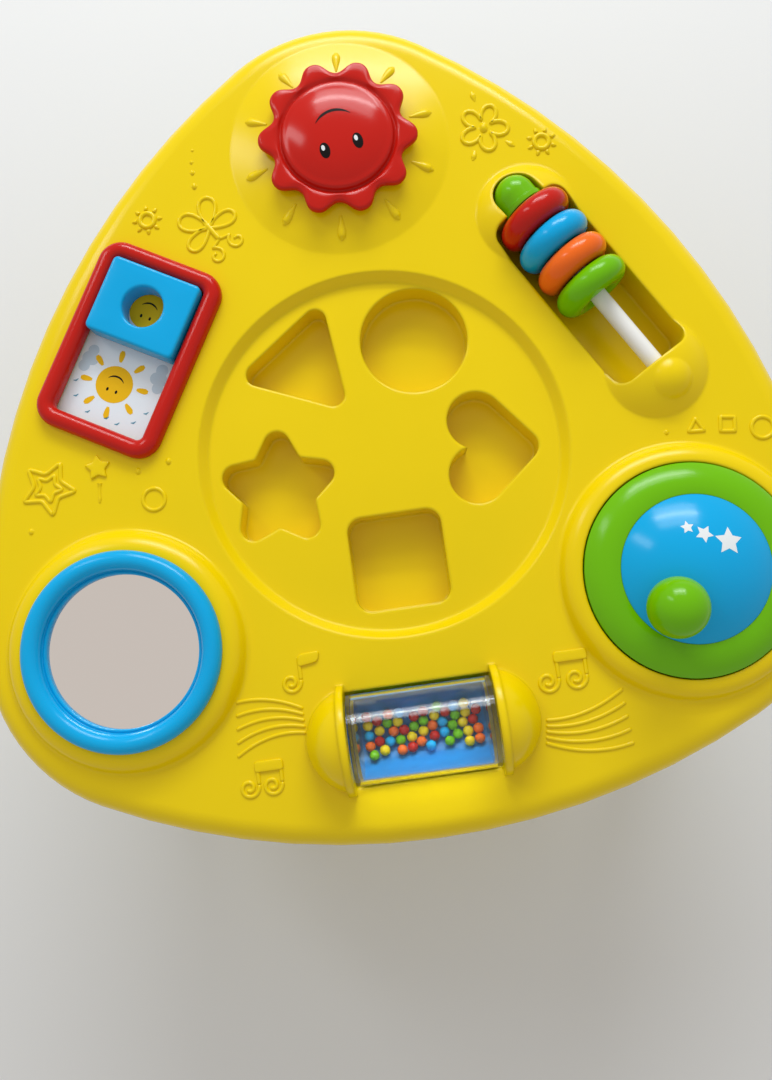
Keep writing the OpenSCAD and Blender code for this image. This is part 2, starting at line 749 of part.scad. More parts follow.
module slider_frame(round = 9) color("red") deck() slider_place() {
    mid_w = frame_w - frame_bar;
    mid_l = frame_l - frame_bar;
    for (s = [0, 180]) rotate(s) {
        translate([mid_w / 2, 0, 0]) straight_bar(mid_l - 2 * round);
        translate([0, mid_l / 2, 0]) rotate(90) straight_bar(mid_w - 2 * round);
    }
    for (q = [0:3]) rotate(90 * q) {
        half = q % 2 == 0 ? [mid_w / 2, mid_l / 2] : [mid_l / 2, mid_w / 2];
        translate([half.x - round, half.y - round, 0]) rotate_extrude(angle = 90)
            translate([round, 0]) bar_section();
    }
    translate([0, 0, lip_z]) difference() {
        translate([-window_w / 2 - 1.2, -window_l / 2 - 1.2, 0]) cube([window_w + 2.4, window_l + 2.4, 1.7]);
        translate([-window_w / 2, -window_l / 2, -1]) cube([window_w, window_l, 4]);
    }
}

module picture_card() color("white") deck() slider_place()
    translate([-window_w / 2 - 1.2, -window_l / 2 - 1.2, tray_z])
        cube([window_w + 2.4, window_l + 2.4, card_t]);

module slider_block() color(blue) deck() slider_place()
    translate([0, block_l / 2 + block_play - window_l / 2, 0]) difference() {
        union() {
            translate([0, 0, tray_z + card_t + 0.3]) linear_extrude(block_top - tray_z - card_t - 0.3)
                offset(r = block_corner, $fn = 32)
                    square([block_w - 2 * block_corner, block_l - 2 * block_corner], center = true);
            translate([-flange_w / 2, -block_l / 2 + 3, tray_z + card_t + 0.3])
                cube([flange_w, block_l - 6, flange_t]);
        }
        translate([0, 0, -10]) cylinder(h = 30, r = finger_hole_r);
    }

// ---------------------------------------------------------------- mirror

module mirror_ring() color(blue) deck() station(mirror_a, corner_station) rotate_extrude() {
    half = (mirror_ring_r - mirror_view_r) / 2;
    intersection() {
        translate([mirror_view_r + half, mirror_collar_h + 1.5]) circle(half);
        translate([mirror_view_r, mirror_collar_h]) square([2 * half, 20]);
    }
    translate([mirror_view_r + 0.6, mirror_floor + mirror_t]) square([1.8, 6]);
}

module mirror_disc() color("lightgray") deck() station(mirror_a, corner_station)
    translate([0, 0, mirror_floor]) cylinder(h = mirror_t, r = mirror_r);

// ---------------------------------------------------------------- spinner

module spinner_ring() color("limegreen") deck() station(spinner_a, corner_station) {
    rotate_extrude() difference() {
        union() {
            intersection() {
                translate([45, -7]) circle(24);
                translate([40, -2]) square([spinner_r - 40, 30]);
            }
            translate([axle_r, 11]) square([38, dome_seat - 11]);
            translate([0, -3.7]) square([hub_r, 16]);
            translate([0, -15.6]) square([axle_r, 20]);
        }
        intersection() {
            translate([45, -7]) circle(21);
            translate([43, -10]) square([spinner_r - 45.5, 30]);
        }
        translate([30, dome_seat]) square([spinner_dome_r - 29.9, 20]);
        translate([-eps, -17]) square([1.8 + eps, 14]);
    }
    for (k = [0:5]) rotate(60 * k) translate([hub_r - 1, -rib_t / 2, 0]) cube([33, rib_t, 11.5]);
}

module spinner_dome() color(blue) deck() station(spinner_a, corner_station) rotate_extrude() difference() {
    union() {
        intersection() {
            translate([0, spinner_dome_top - spinner_sphere]) circle(spinner_sphere, $fn = 180);
            translate([0, dome_foot]) square([spinner_dome_r, 30]);
        }
        translate([0, dome_seat]) square([spinner_dome_r, dome_foot - dome_seat]);
    }
    intersection() {
        translate([0, spinner_dome_top - spinner_sphere]) circle(spinner_sphere - 2.5, $fn = 180);
        translate([-eps, dome_seat - 1]) square([spinner_dome_r - 2.5, 30]);
    }
}

module spinner_knob() color("limegreen") deck() station(spinner_a, corner_station) difference() {
    rotate(knob_turn) translate([knob_at, 0, knob_z]) sphere(knob_r);
    translate([0, 0, spinner_dome_top - spinner_sphere]) sphere(spinner_sphere + 0.05, $fn = 180);
}

module spinner_washer() color("silver") deck() station(spinner_a, corner_station)
    translate([0, 0, -17.1]) difference() {
        cylinder(h = 1.5, r = 10);
        translate([0, 0, -1]) cylinder(h = 4, r = 2);
    }

module spinner_screw() color("silver") deck() station(spinner_a, corner_station) {
    translate([0, 0, -19.1]) cylinder(h = 2, r = 4);
    translate([0, 0, -17.2]) cylinder(h = 13, r = 1.75);
}

// ---------------------------------------------------------------- bead rail

module rail_rod() color("white") deck() station(rail_a, rail_station)
    along_rail(rod_r, rail_low - 5.5, 70);

module rail_head() color("limegreen") deck() station(rail_a, rail_station) difference() {
    union() {
        along_rail(head_r + 0.8, 63.6, 66.6);
        along_rail(head_r, 66.5, head_at);
        intersection() {
            translate([0, head_at, rod_z]) sphere(head_r);
            translate([-25, head_at - 0.1, -25]) cube(50);
        }
        translate([0, head_at, peg_floor - 5.5]) cylinder(h = 14, r = 3.5);
    }
    along_rail(rod_r, 60, 70);
}

module bead_ring_solid(place) deck() station(rail_a, rail_station) translate([0, place, rod_z])
    rotate([-90, 0, 0]) rotate_extrude() {
        translate([ring_r - ring_t / 2, 0]) circle(ring_t / 2);
        translate([rod_r + 0.9, -ring_t / 2 + 2]) square([ring_r - ring_t / 2 - rod_r - 0.9, ring_t - 4]);
    }

module ring_red() color("red") bead_ring_solid(first_ring);
module ring_blue() color(blue) bead_ring_solid(first_ring - ring_pitch);
module ring_orange() color("darkorange") bead_ring_solid(first_ring - 2 * ring_pitch);
module ring_green() color("limegreen") bead_ring_solid(first_ring - 3 * ring_pitch);

// ---------------------------------------------------------------- roller

module drum_tube(outer, thickness, half) difference() {
    along_roller(outer, -half, half, drum_z);
    along_roller(outer - thickness, -half - 1, half + 1, drum_z);
}

module drum_shell() color("lightcyan", 0.35) deck() station(roller_a, side_station)
    drum_tube(drum_r, drum_wall, drum_l / 2 - 2.5);

module drum_lining() color("dodgerblue") deck() station(roller_a, side_station) intersection() {
    drum_tube(drum_r - drum_wall, lining_t, drum_l / 2 - 2.5);
    translate([-50, -60, drum_z - 60]) cube([100, 120, 60]);
}

module drum_end(side) color("lightcyan", 0.35) deck() station(roller_a, side_station) mirror([0, side, 0]) {
    along_roller(drum_r, drum_l / 2 - 2.5, drum_l / 2, drum_z);
    along_roller(drum_r - drum_wall - lining_t, drum_l / 2 - 4.5, drum_l / 2 - 2.4, drum_z);
    along_roller(pin_r, drum_l / 2 - eps, drum_l / 2 + 4.5, drum_z);
}

// the loose beads lie in one layer along the bottom: rows along the drum, files round it
bead_rows = 11;
bead_pitch = 6.5;
function bead_colour(i, j) = (3 * i + 7 * j + floor(i * j / 3)) % 5;
function bead_there(i, j) = abs(j) < 2 || (i * 5 + j) % 3 != 0;

module beads(colour) deck() station(roller_a, side_station)
    for (i = [0:bead_rows - 1], j = [-2:2]) if (bead_there(i, j) && bead_colour(i, j + 2) == colour) {
        a = j * 19 + 4 * sin(97 * i);
        translate([bead_ring * sin(a), (i - (bead_rows - 1) / 2) * bead_pitch, drum_z - bead_ring * cos(a)])
            sphere(bead_r, $fn = 24);
    }

module beads_red() color("red") beads(0);
module beads_orange() color("darkorange") beads(1);
module beads_yellow() color(yellow) beads(2);
module beads_green() color("limegreen") beads(3);
module beads_blue() color(blue) beads(4);

// ---------------------------------------------------------------- all nodes

top_shell();
bottom_cover();
battery_door();
leg(0);  // leg_sun
leg(1);  // leg_mirror
leg(2);  // leg_spinner
foot(0);  // foot_sun
foot(1);  // foot_mirror
foot(2);  // foot_spinner
cover_screws();
door_screw();
batteries();
battery_contacts();
speaker();
circuit_board();
button_switch();
switch_housing();
power_switch();
sun_cap();
sun_stem();
sun_spring();
slider_frame();
picture_card();
slider_block();
mirror_ring();
mirror_disc();
spinner_ring();
spinner_dome();
spinner_knob();
spinner_washer();
spinner_screw();
rail_rod();
rail_head();
ring_red();
ring_blue();
ring_orange();
ring_green();
drum_shell();
drum_lining();
drum_end(1);  // drum_end_left
drum_end(0);  // drum_end_right
beads_red();
beads_orange();
beads_yellow();
beads_green();
beads_blue();
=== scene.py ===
"""Musical activity table: the jointed frame, dressed in moulded plastic.

The scene is in metres, +Z up, with the floor at z = 0. Sizes are written in millimetres, up to the stage."""

import math
import random

import bmesh
import bpy
from mathutils import Matrix, Vector


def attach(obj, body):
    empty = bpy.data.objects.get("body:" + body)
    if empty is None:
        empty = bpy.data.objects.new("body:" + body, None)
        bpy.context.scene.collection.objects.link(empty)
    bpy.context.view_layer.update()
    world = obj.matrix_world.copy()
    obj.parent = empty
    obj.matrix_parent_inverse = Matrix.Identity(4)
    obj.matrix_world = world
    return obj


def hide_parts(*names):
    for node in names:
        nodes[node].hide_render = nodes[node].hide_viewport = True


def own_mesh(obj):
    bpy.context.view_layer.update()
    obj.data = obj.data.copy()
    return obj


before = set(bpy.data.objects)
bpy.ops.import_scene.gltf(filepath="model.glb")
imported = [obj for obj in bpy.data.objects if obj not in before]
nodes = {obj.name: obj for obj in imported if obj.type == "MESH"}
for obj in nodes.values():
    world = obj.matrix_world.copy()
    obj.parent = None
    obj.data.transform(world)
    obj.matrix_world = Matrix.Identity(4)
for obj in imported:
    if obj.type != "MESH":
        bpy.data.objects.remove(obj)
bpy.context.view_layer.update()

# -------------------------------------------------- places, in millimetres and degrees

MM = 0.001
DECK_Z = 255.0
PLAY_Y = -22.65  # middle of the dish, which all stations stand round
CORNER_AT, SIDE_AT = 192.0, 165.5  # how far out the stations in the corners and at the sides stand
SUN = (90, CORNER_AT)  # a station is its direction from the middle of the dish, and its distance
SLIDER = (150, SIDE_AT + 0.6)
MIRROR = (210, CORNER_AT)
ROLLER = (270, SIDE_AT)
SPINNER = (330, CORNER_AT)


def turned(x, y, angle):
    """(x, y) turned anticlockwise by an angle."""
    a = math.radians(angle)
    return x * math.cos(a) - y * math.sin(a), x * math.sin(a) + y * math.cos(a)


def polar(r, angle):
    return turned(r, 0, angle)


def between(a, b, share):
    """The point that lies a share of the way from a to b."""
    return a[0] + (b[0] - a[0]) * share, a[1] + (b[1] - a[1]) * share


def in_station(station, x=0.0, y=0.0):
    """A point of a station's own frame, whose x goes outwards from the dish and y anticlockwise."""
    angle, distance = station
    return turned(distance + x, y, angle)


def on_table(x, y, z):
    """A point round the middle of the dish, with z above the deck, in metres."""
    return Vector((x * MM, (y + PLAY_Y) * MM, (z + DECK_Z) * MM))


def at_station(station, x, y, z):
    """A point of a station's own frame, with z above the deck, in metres."""
    return on_table(*in_station(station, x, y), z)


def ball_radius(foot, height):
    """Radius of the ball that a cap of this foot radius and height is cut from."""
    return (foot**2 + height**2) / (2 * height)


def cap_height(away, top, ball):
    """Height of such a cap at a distance from its middle."""
    return top - ball + math.sqrt(ball**2 - away**2)


MOUND_R, MOUND_H = 68.0, 10.0  # the mound that the sun button sits on
MOUND_BALL = ball_radius(MOUND_R, MOUND_H)


def deck_height(x, y):
    """Height of the yellow surface over the deck: flat, but for the sun's mound."""
    away = math.dist((x, y), in_station(SUN))
    return cap_height(away, MOUND_H, MOUND_BALL) if away < MOUND_R else 0.0


# -------------------------------------------------- helpers for objects and nodes


def into_scene(name, data):
    """A new object in the scene for a mesh, curve, lamp or camera."""
    thing = bpy.data.objects.new(name, data)
    bpy.context.scene.collection.objects.link(thing)
    return thing


def settle(piece, body, replaced=()):
    """Say which body a finished piece moves with, and hide the nodes it stands for."""
    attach(piece, body)
    if replaced:
        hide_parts(*replaced)


def add_node(tree, kind, at, **settings):
    node = tree.nodes.new(kind)
    node.location = at
    for name, value in settings.items():
        setattr(node, name, value)
    return node


def set_inputs(node, **values):
    """Constants for a node's inputs, whose names are written here with _ for each space."""
    for name, value in values.items():
        node.inputs[name.replace("_", " ")].default_value = value


def new_group(name, *inputs):
    """A group that takes and gives geometry, with its two ends. More inputs are (name, kind, first value)."""
    tree = bpy.data.node_groups.new(name, "GeometryNodeTree")
    tree.interface.new_socket("Geometry", in_out="INPUT", socket_type="NodeSocketGeometry")
    for label, kind, value in inputs:
        socket = tree.interface.new_socket(label, in_out="INPUT", socket_type="NodeSocket" + kind)
        if value is not None:
            socket.default_value = value
    tree.interface.new_socket("Geometry", in_out="OUTPUT", socket_type="NodeSocketGeometry")
    return tree, add_node(tree, "NodeGroupInput", (-900, 0)), add_node(tree, "NodeGroupOutput", (900, 0))


def end_group(tree, source, out, geometry):
    """Close a group with plain geometry, painted with the group's Material."""
    real = add_node(tree, "GeometryNodeRealizeInstances", (500, 0))
    paint = add_node(tree, "GeometryNodeSetMaterial", (700, 0))
    link = tree.links.new
    link(geometry, real.inputs["Geometry"])
    link(real.outputs["Geometry"], paint.inputs["Geometry"])
    link(source.outputs["Material"], paint.inputs["Material"])
    link(paint.outputs["Geometry"], out.inputs["Geometry"])


def add_group(piece, tree, values):
    """Give a piece a group as its modifier, with values for the group's named inputs."""
    modifier = piece.modifiers.new(tree.name, "NODES")
    modifier.node_group = tree
    for item in tree.interface.items_tree:
        if item.in_out == "INPUT" and item.name in values:
            modifier[item.identifier] = values[item.name]


def bake(piece):
    """The piece with its modifiers turned into plain mesh."""
    graph = bpy.context.evaluated_depsgraph_get()
    mesh = bpy.data.meshes.new_from_object(piece.evaluated_get(graph))
    name, drawn = piece.name, piece.data
    bpy.data.objects.remove(piece)
    store = bpy.data.curves if isinstance(drawn, bpy.types.Curve) else bpy.data.meshes
    store.remove(drawn)
    mesh.name = name
    return into_scene(name, mesh)


# -------------------------------------------------- materials

MIX_SHARE, MIX_A, MIX_B, MIX_RESULT = 0, 6, 7, 2  # sockets of a mix node that mixes colours
# how far marks take a colour or roughness down and up, as shares of it
FLOW_TINT, FLOW_GLOSS, DRAWN_GLOSS = (0.93, 1.05), (0.88, 1.15), (0.75, 1.25)


def shader(name):
    material = bpy.data.materials.new(name)
    material.use_nodes = True
    tree = material.node_tree
    tree.nodes.clear()
    output = add_node(tree, "ShaderNodeOutputMaterial", (900, 0))
    surface = add_node(tree, "ShaderNodeBsdfPrincipled", (600, 0))
    tree.links.new(surface.outputs["BSDF"], output.inputs["Surface"])
    return material, tree, surface


def marks(tree, at, **settings):
    """A noise over the object's own coordinates."""
    place = add_node(tree, "ShaderNodeTexCoord", (at[0] - 250, at[1]))
    noise = add_node(tree, "ShaderNodeTexNoise", at)
    set_inputs(noise, **settings)
    tree.links.new(place.outputs["Object"], noise.inputs["Vector"])
    return noise.outputs["Fac"]


def uneven_gloss(tree, surface, noise, **limits):
    """Roughness that follows a noise between two limits."""
    gloss = add_node(tree, "ShaderNodeMapRange", (-350, 0))
    set_inputs(gloss, **limits)
    tree.links.new(noise, gloss.inputs["Value"])
    tree.links.new(gloss.outputs["Result"], surface.inputs["Roughness"])


def moulded(name, colour, roughness, edge, grain=0.015, shine=0.25):
    """Injection-moulded plastic: faint flow marks in colour and gloss, a fine skin, and edges that look
    rounded with a radius in millimetres."""
    material, tree, surface = shader(name)
    link = tree.links.new
    flow = marks(tree, (-650, 200), Scale=9.0, Detail=3.0, Roughness=0.45)
    tint = add_node(tree, "ShaderNodeMix", (-350, 250), data_type="RGBA")
    tint.inputs[MIX_A].default_value = (*[c * FLOW_TINT[0] for c in colour], 1.0)
    tint.inputs[MIX_B].default_value = (*[min(1.0, c * FLOW_TINT[1]) for c in colour], 1.0)
    link(flow, tint.inputs[MIX_SHARE])
    link(tint.outputs[MIX_RESULT], surface.inputs["Base Color"])
    low, high = (roughness * share for share in FLOW_GLOSS)
    uneven_gloss(tree, surface, flow, From_Min=0.3, From_Max=0.7, To_Min=low, To_Max=high)
    fine = marks(tree, (-650, -250), Scale=700.0, Detail=2.0)
    soft_edge = add_node(tree, "ShaderNodeBevel", (-350, -450), samples=8 if edge > 2 else 4)
    set_inputs(soft_edge, Radius=edge * MM)
    bump = add_node(tree, "ShaderNodeBump", (0, -300))
    set_inputs(bump, Strength=grain, Distance=0.4 * MM)
    link(fine, bump.inputs["Height"])
    link(soft_edge.outputs["Normal"], bump.inputs["Normal"])
    link(bump.outputs["Normal"], surface.inputs["Normal"])
    set_inputs(surface, Specular_IOR_Level=shine)
    return material


def ink(name, colour, roughness=0.3):
    """A printed colour, duller than the plastic."""
    return moulded(name, colour, roughness, edge=0.05, grain=0.02, shine=0.1)


def see_through(name, colour):
    """Clear moulded plastic, with shadows that let light into what it encloses."""
    material, tree, surface = shader(name)
    link = tree.links.new
    set_inputs(surface, Base_Color=(*colour, 1.0), Roughness=0.05, IOR=1.38, Transmission_Weight=1.0)
    clear = add_node(tree, "ShaderNodeBsdfTransparent", (600, -400))
    rays = add_node(tree, "ShaderNodeLightPath", (600, 300))
    choice = add_node(tree, "ShaderNodeMixShader", (780, 100))
    link(rays.outputs["Is Shadow Ray"], choice.inputs[0])
    link(surface.outputs["BSDF"], choice.inputs[1])
    link(clear.outputs["BSDF"], choice.inputs[2])
    link(choice.outputs["Shader"], tree.nodes["Material Output"].inputs["Surface"])
    return material


def metal(name, colour, roughness):
    """Plated metal with fine drawn marks."""
    material, tree, surface = shader(name)
    drawn = marks(tree, (-450, 0), Scale=400.0, Detail=4.0)
    low, high = (roughness * share for share in DRAWN_GLOSS)
    uneven_gloss(tree, surface, drawn, To_Min=low, To_Max=high)
    set_inputs(surface, Base_Color=(*colour, 1.0), Metallic=1.0)
    return material


YELLOW_PIGMENT = (0.80, 0.59, 0.0)
YELLOW = moulded("yellow_plastic", YELLOW_PIGMENT, roughness=0.21, edge=3.0)
RAISED_YELLOW = moulded("yellow_plastic_raised", YELLOW_PIGMENT, roughness=0.21, edge=0.4)
RED = moulded("red_plastic", (0.51, 0.009, 0.004), roughness=0.16, edge=1.0)
BLUE = moulded("blue_plastic", (0.0, 0.37, 0.74), roughness=0.18, edge=1.0)
GREEN = moulded("green_plastic", (0.145, 0.46, 0.0), roughness=0.18, edge=1.0)
ORANGE = moulded("orange_plastic", (0.84, 0.14, 0.01), roughness=0.18, edge=0.6)
WHITE = moulded("white_plastic", (0.80, 0.80, 0.78), roughness=0.28, edge=0.5)
LINING = moulded("drum_lining_blue", (0.01, 0.22, 0.58), roughness=0.35, edge=0.3)
DARK = moulded("dark_plastic", (0.03, 0.03, 0.035), roughness=0.4, edge=0.3)
RUBBER = moulded("foot_rubber", (0.035, 0.035, 0.04), roughness=0.7, edge=0.6, grain=0.15)
CARD = moulded("printed_card", (0.72, 0.80, 0.87), roughness=0.45, edge=0.1, grain=0.05)
BOARD = moulded("board_green", (0.02, 0.16, 0.06), roughness=0.4, edge=0.1)
CELL = moulded("cell_wrap", (0.05, 0.05, 0.06), roughness=0.3, edge=0.3)
CLEAR = see_through("clear_plastic", (0.93, 0.96, 0.97))
STEEL = metal("plated_steel", (0.60, 0.60, 0.58), 0.32)
SILVER = metal("mirror_silver", (0.95, 0.89, 0.86), 0.04)
BLACK_INK = ink("black_ink", (0.006, 0.005, 0.005), 0.4)
WHITE_INK = ink("white_ink", (0.75, 0.79, 0.82))
SUN_INK = ink("sun_yellow_ink", (0.78, 0.46, 0.008), 0.42)
CLOUD_INK = ink("cloud_ink", (0.48, 0.60, 0.70), 0.42)
DROP_INK = ink("drop_ink", (0.10, 0.30, 0.42), 0.42)

# -------------------------------------------------- finish of the frame's own pieces

FINISHES = {
    YELLOW: "top_shell bottom_cover battery_door beads_yellow",
    RED: "sun_cap slider_frame ring_red beads_red",
    BLUE: "leg_sun leg_mirror leg_spinner slider_block mirror_ring spinner_dome ring_blue beads_blue",
    GREEN: "spinner_ring spinner_knob rail_head ring_green beads_green",
    ORANGE: "ring_orange beads_orange",
    WHITE: "sun_stem rail_rod",
    LINING: "drum_lining",
    DARK: "speaker button_switch switch_housing power_switch",
    RUBBER: "foot_sun foot_mirror foot_spinner",
    CARD: "picture_card",
    BOARD: "circuit_board",
    CELL: "batteries",
    CLEAR: "drum_shell drum_end_left drum_end_right",
    STEEL: "cover_screws door_screw battery_contacts sun_spring spinner_washer spinner_screw",
    SILVER: "mirror_disc",
}
SHARP = math.radians(32)  # a steeper edge stays sharp
SHELL_SHARP = math.radians(15.3)  # on the top shell, just under the slope at the foot of the sun's mound


def smoothing_tree():
    """Merges a moulding's loose triangles and shades it smooth, apart from its sharp edges."""
    tree, source, out = new_group("smooth_moulding", ("Sharp Angle", "Float", SHARP))
    merged = add_node(tree, "GeometryNodeMergeByDistance", (-600, 0))
    set_inputs(merged, Distance=0.005 * MM)
    smooth = add_node(tree, "GeometryNodeSetShadeSmooth", (-300, 0), domain="FACE")
    bend = add_node(tree, "GeometryNodeInputMeshEdgeAngle", (-600, -250))
    steeper = add_node(tree, "FunctionNodeCompare", (-300, -250), operation="GREATER_THAN")
    sharpened = add_node(tree, "GeometryNodeSetShadeSmooth", (0, 0), domain="EDGE")
    set_inputs(sharpened, Shade_Smooth=False)
    link = tree.links.new
    link(source.outputs["Geometry"], merged.inputs["Geometry"])
    link(merged.outputs["Geometry"], smooth.inputs["Geometry"])
    link(bend.outputs["Unsigned Angle"], steeper.inputs["A"])
    link(source.outputs["Sharp Angle"], steeper.inputs["B"])
    link(smooth.outputs["Geometry"], sharpened.inputs["Geometry"])
    link(steeper.outputs["Result"], sharpened.inputs["Selection"])
    link(sharpened.outputs["Geometry"], out.inputs["Geometry"])
    return tree


def finish_node(name, material):
    piece = nodes[name]
    piece.data.materials.clear()
    piece.data.materials.append(material)
    add_group(piece, SMOOTHING, {"Sharp Angle": SHELL_SHARP if name == "top_shell" else SHARP})
    weights = piece.modifiers.new("Weighted", "WEIGHTED_NORMAL")
    weights.keep_sharp = True


SMOOTHING = smoothing_tree()
for finish, names in FINISHES.items():
    for node_name in names.split():
        finish_node(node_name, finish)

# -------------------------------------------------- outlines and lines, in millimetres


def arc(r, start, end, steps, cx=0.0, cy=0.0):
    around = [math.radians(start + (end - start) * i / steps) for i in range(steps + 1)]
    return [(cx + r * math.cos(a), cy + r * math.sin(a)) for a in around]


def ring(r, cx, cy):
    return arc(r, 0, 360, 32, cx, cy)[:-1]


def oval(cx, cy, length, width, turn=0.0):
    return placed([(x * length / 2, y * width / 2) for x, y in arc(1, 0, 360, 28)[:-1]], cx, cy, turn)


def spiral(r, turns, start, cx, cy, steps=40, narrowing=0.82):
    """A curl from the outside in."""
    points = []
    for i in range(steps + 1):
        t = i / steps
        x, y = polar(r * (1 - narrowing * t), start + 360 * turns * t)
        points.append((cx + x, cy + y))
    return points


def star(r, inner=0.5):
    return [polar(r if k % 2 == 0 else r * inner, 90 + 36 * k) for k in range(10)]


def placed(points, cx, cy, turn=0.0):
    """The points turned round the origin and then moved to (cx, cy)."""
    return [(cx + u, cy + v) for u, v in (turned(x, y, turn) for x, y in points)]


def refined(points, closed, step=0.5):
    """The same line with points no further apart than a step."""
    out = []
    ends = points[1:] + ([points[0]] if closed else [])
    for a, b in zip(points, ends):
        n = max(1, math.ceil(math.dist(a, b) / step))
        out += [between(a, b, i / n) for i in range(n)]
    return out if closed else out + [points[-1]]


def rounded(outline, r, steps=5):
    """The same outline with its corners cut to soft curves."""
    out = []
    for i, corner in enumerate(outline):
        before, after = outline[i - 1], outline[(i + 1) % len(outline)]
        start = between(corner, before, r / math.dist(corner, before))
        end = between(corner, after, r / math.dist(corner, after))
        for k in range(steps + 1):
            t = k / steps
            out.append(between(between(start, corner, t), between(corner, end, t), t))
    return out


def spread(values, n):
    """A short list of numbers drawn out to n of them, with straight runs between."""
    out = []
    for i in range(n):
        t = i / (n - 1) * (len(values) - 1)
        k = min(int(t), len(values) - 2)
        out.append(values[k] + (values[k + 1] - values[k]) * (t - k))
    return out


# -------------------------------------------------- round wires and raised lines


def sweep_tree():
    """Turns curves into round wires or raised lines; each point's radius is its half width."""
    step, material = ("Step", "Float", 0.5 * MM), ("Material", "Material", None)
    tree, source, out = new_group("swept_line", step, material)
    even = add_node(tree, "GeometryNodeResampleCurve", (-600, 0), mode="LENGTH")
    section = add_node(tree, "GeometryNodeCurvePrimitiveCircle", (-300, -200), mode="RADIUS")
    set_inputs(section, Resolution=10, Radius=1.0)
    width = add_node(tree, "GeometryNodeInputRadius", (-300, -400))
    swept_line = add_node(tree, "GeometryNodeCurveToMesh", (0, 0))
    set_inputs(swept_line, Fill_Caps=True)
    smooth = add_node(tree, "GeometryNodeSetShadeSmooth", (250, 0))
    link = tree.links.new
    link(source.outputs["Geometry"], even.inputs["Curve"])
    link(source.outputs["Step"], even.inputs["Length"])
    link(even.outputs["Curve"], swept_line.inputs["Curve"])
    link(section.outputs["Curve"], swept_line.inputs["Profile Curve"])
    link(width.outputs["Radius"], swept_line.inputs["Scale"])
    link(swept_line.outputs["Mesh"], smooth.inputs["Geometry"])
    end_group(tree, source, out, smooth.outputs["Geometry"])
    return tree


SWEEP = sweep_tree()
LINE = 1.3  # half width of a raised line


def swept(name, wires, material):
    """One piece of round wires, each a list of (point in metres, half width), and whether it is closed."""
    curve = bpy.data.curves.new(name, "CURVE")
    curve.dimensions = "3D"
    for wire, closed in wires:
        spline = curve.splines.new("POLY")
        spline.points.add(len(wire) - 1)
        spline.use_cyclic_u = closed
        for knot, (point, width) in zip(spline.points, wire):
            knot.co = (*point, 1.0)
            knot.radius = width * MM
    piece = into_scene(name, curve)
    add_group(piece, SWEEP, {"Material": material})
    return bake(piece)


def rounded_ends(points, closed, half):
    """Half widths along a line: full, but for the rounded ends of an open one."""
    if closed:
        return [half] * len(points)
    run = [0.0]
    for a, b in zip(points, points[1:]):
        run.append(run[-1] + math.dist(a, b))
    widths = []
    for s in run:
        near = min(1.0, min(s, run[-1] - s) / half)
        widths.append(half * math.sqrt(max(0.01, 1 - (1 - near) ** 2)))
    return widths


def relief(name, lines, sunk=0.16):
    """One yellow piece of raised lines: each is (points, closed, half width or a list of them).

    The middle of a line is sunk under the surface by a share of its half width."""
    wires = []
    for points, closed, half in lines:
        path = refined(points, closed)
        widths = rounded_ends(path, closed, half) if isinstance(half, float) else spread(half, len(path))
        wire = [(on_table(x, y, deck_height(x, y) - sunk * w), w) for (x, y), w in zip(path, widths)]
        wires.append((wire, closed))
    settle(swept(name, wires, RAISED_YELLOW), "table")


# -------------------------------------------------- lofted forms


def skin(rows, n, start=0, around=True):
    """Faces between rows of n points each, numbered from a start, all the way round or only along them."""
    faces = []
    for r in range(rows - 1):
        a, b = start + r * n, start + (r + 1) * n
        for i in range(n if around else n - 1):
            j = (i + 1) % n
            faces.append((a + i, a + j, b + j, b + i))
    return faces


def new_piece(name, points, faces, material, sharp=35):
    """A mesh with its faces outwards, smooth but for the edges sharper than an angle."""
    mesh = bpy.data.meshes.new(name)
    mesh.from_pydata(points, [], faces)
    work = bmesh.new()
    work.from_mesh(mesh)
    bmesh.ops.recalc_face_normals(work, faces=work.faces)
    work.to_mesh(mesh)
    work.free()
    mesh.polygons.foreach_set("use_smooth", [True] * len(mesh.polygons))
    mesh.set_sharp_from_angle(angle=math.radians(sharp))
    mesh.materials.append(material)
    return into_scene(name, mesh)


def loft(name, rows, material, closed=False, sharp=35):
    """A skin over rings of as many points each, closed into a loop or with both end rings filled."""
    n = len(rows[0])
    last = (len(rows) - 1) * n
    points = [p for row in rows for p in row]
    faces = skin(len(rows), n)
    if closed:
        faces += [(last + i, last + (i + 1) % n, (i + 1) % n, i) for i in range(n)]
    else:
        for start in (0, last):
            points.append(sum(points[start : start + n], Vector()) / n)
            faces += [(start + i, start + (i + 1) % n, len(points) - 1) for i in range(n)]
    return new_piece(name, points, faces, material, sharp)


# -------------------------------------------------- reliefs on the yellow top

SUN_RAYS, SUN_TURN = 10, 12  # number of tips on the button's rim, and how far they are turned
LITTLE_SUNS = ((-123.6, 164.4, 0), (123.1, 176.1, 20))  # middle and turn
BUTTERFLY = (-86.4, 154.0, -57)
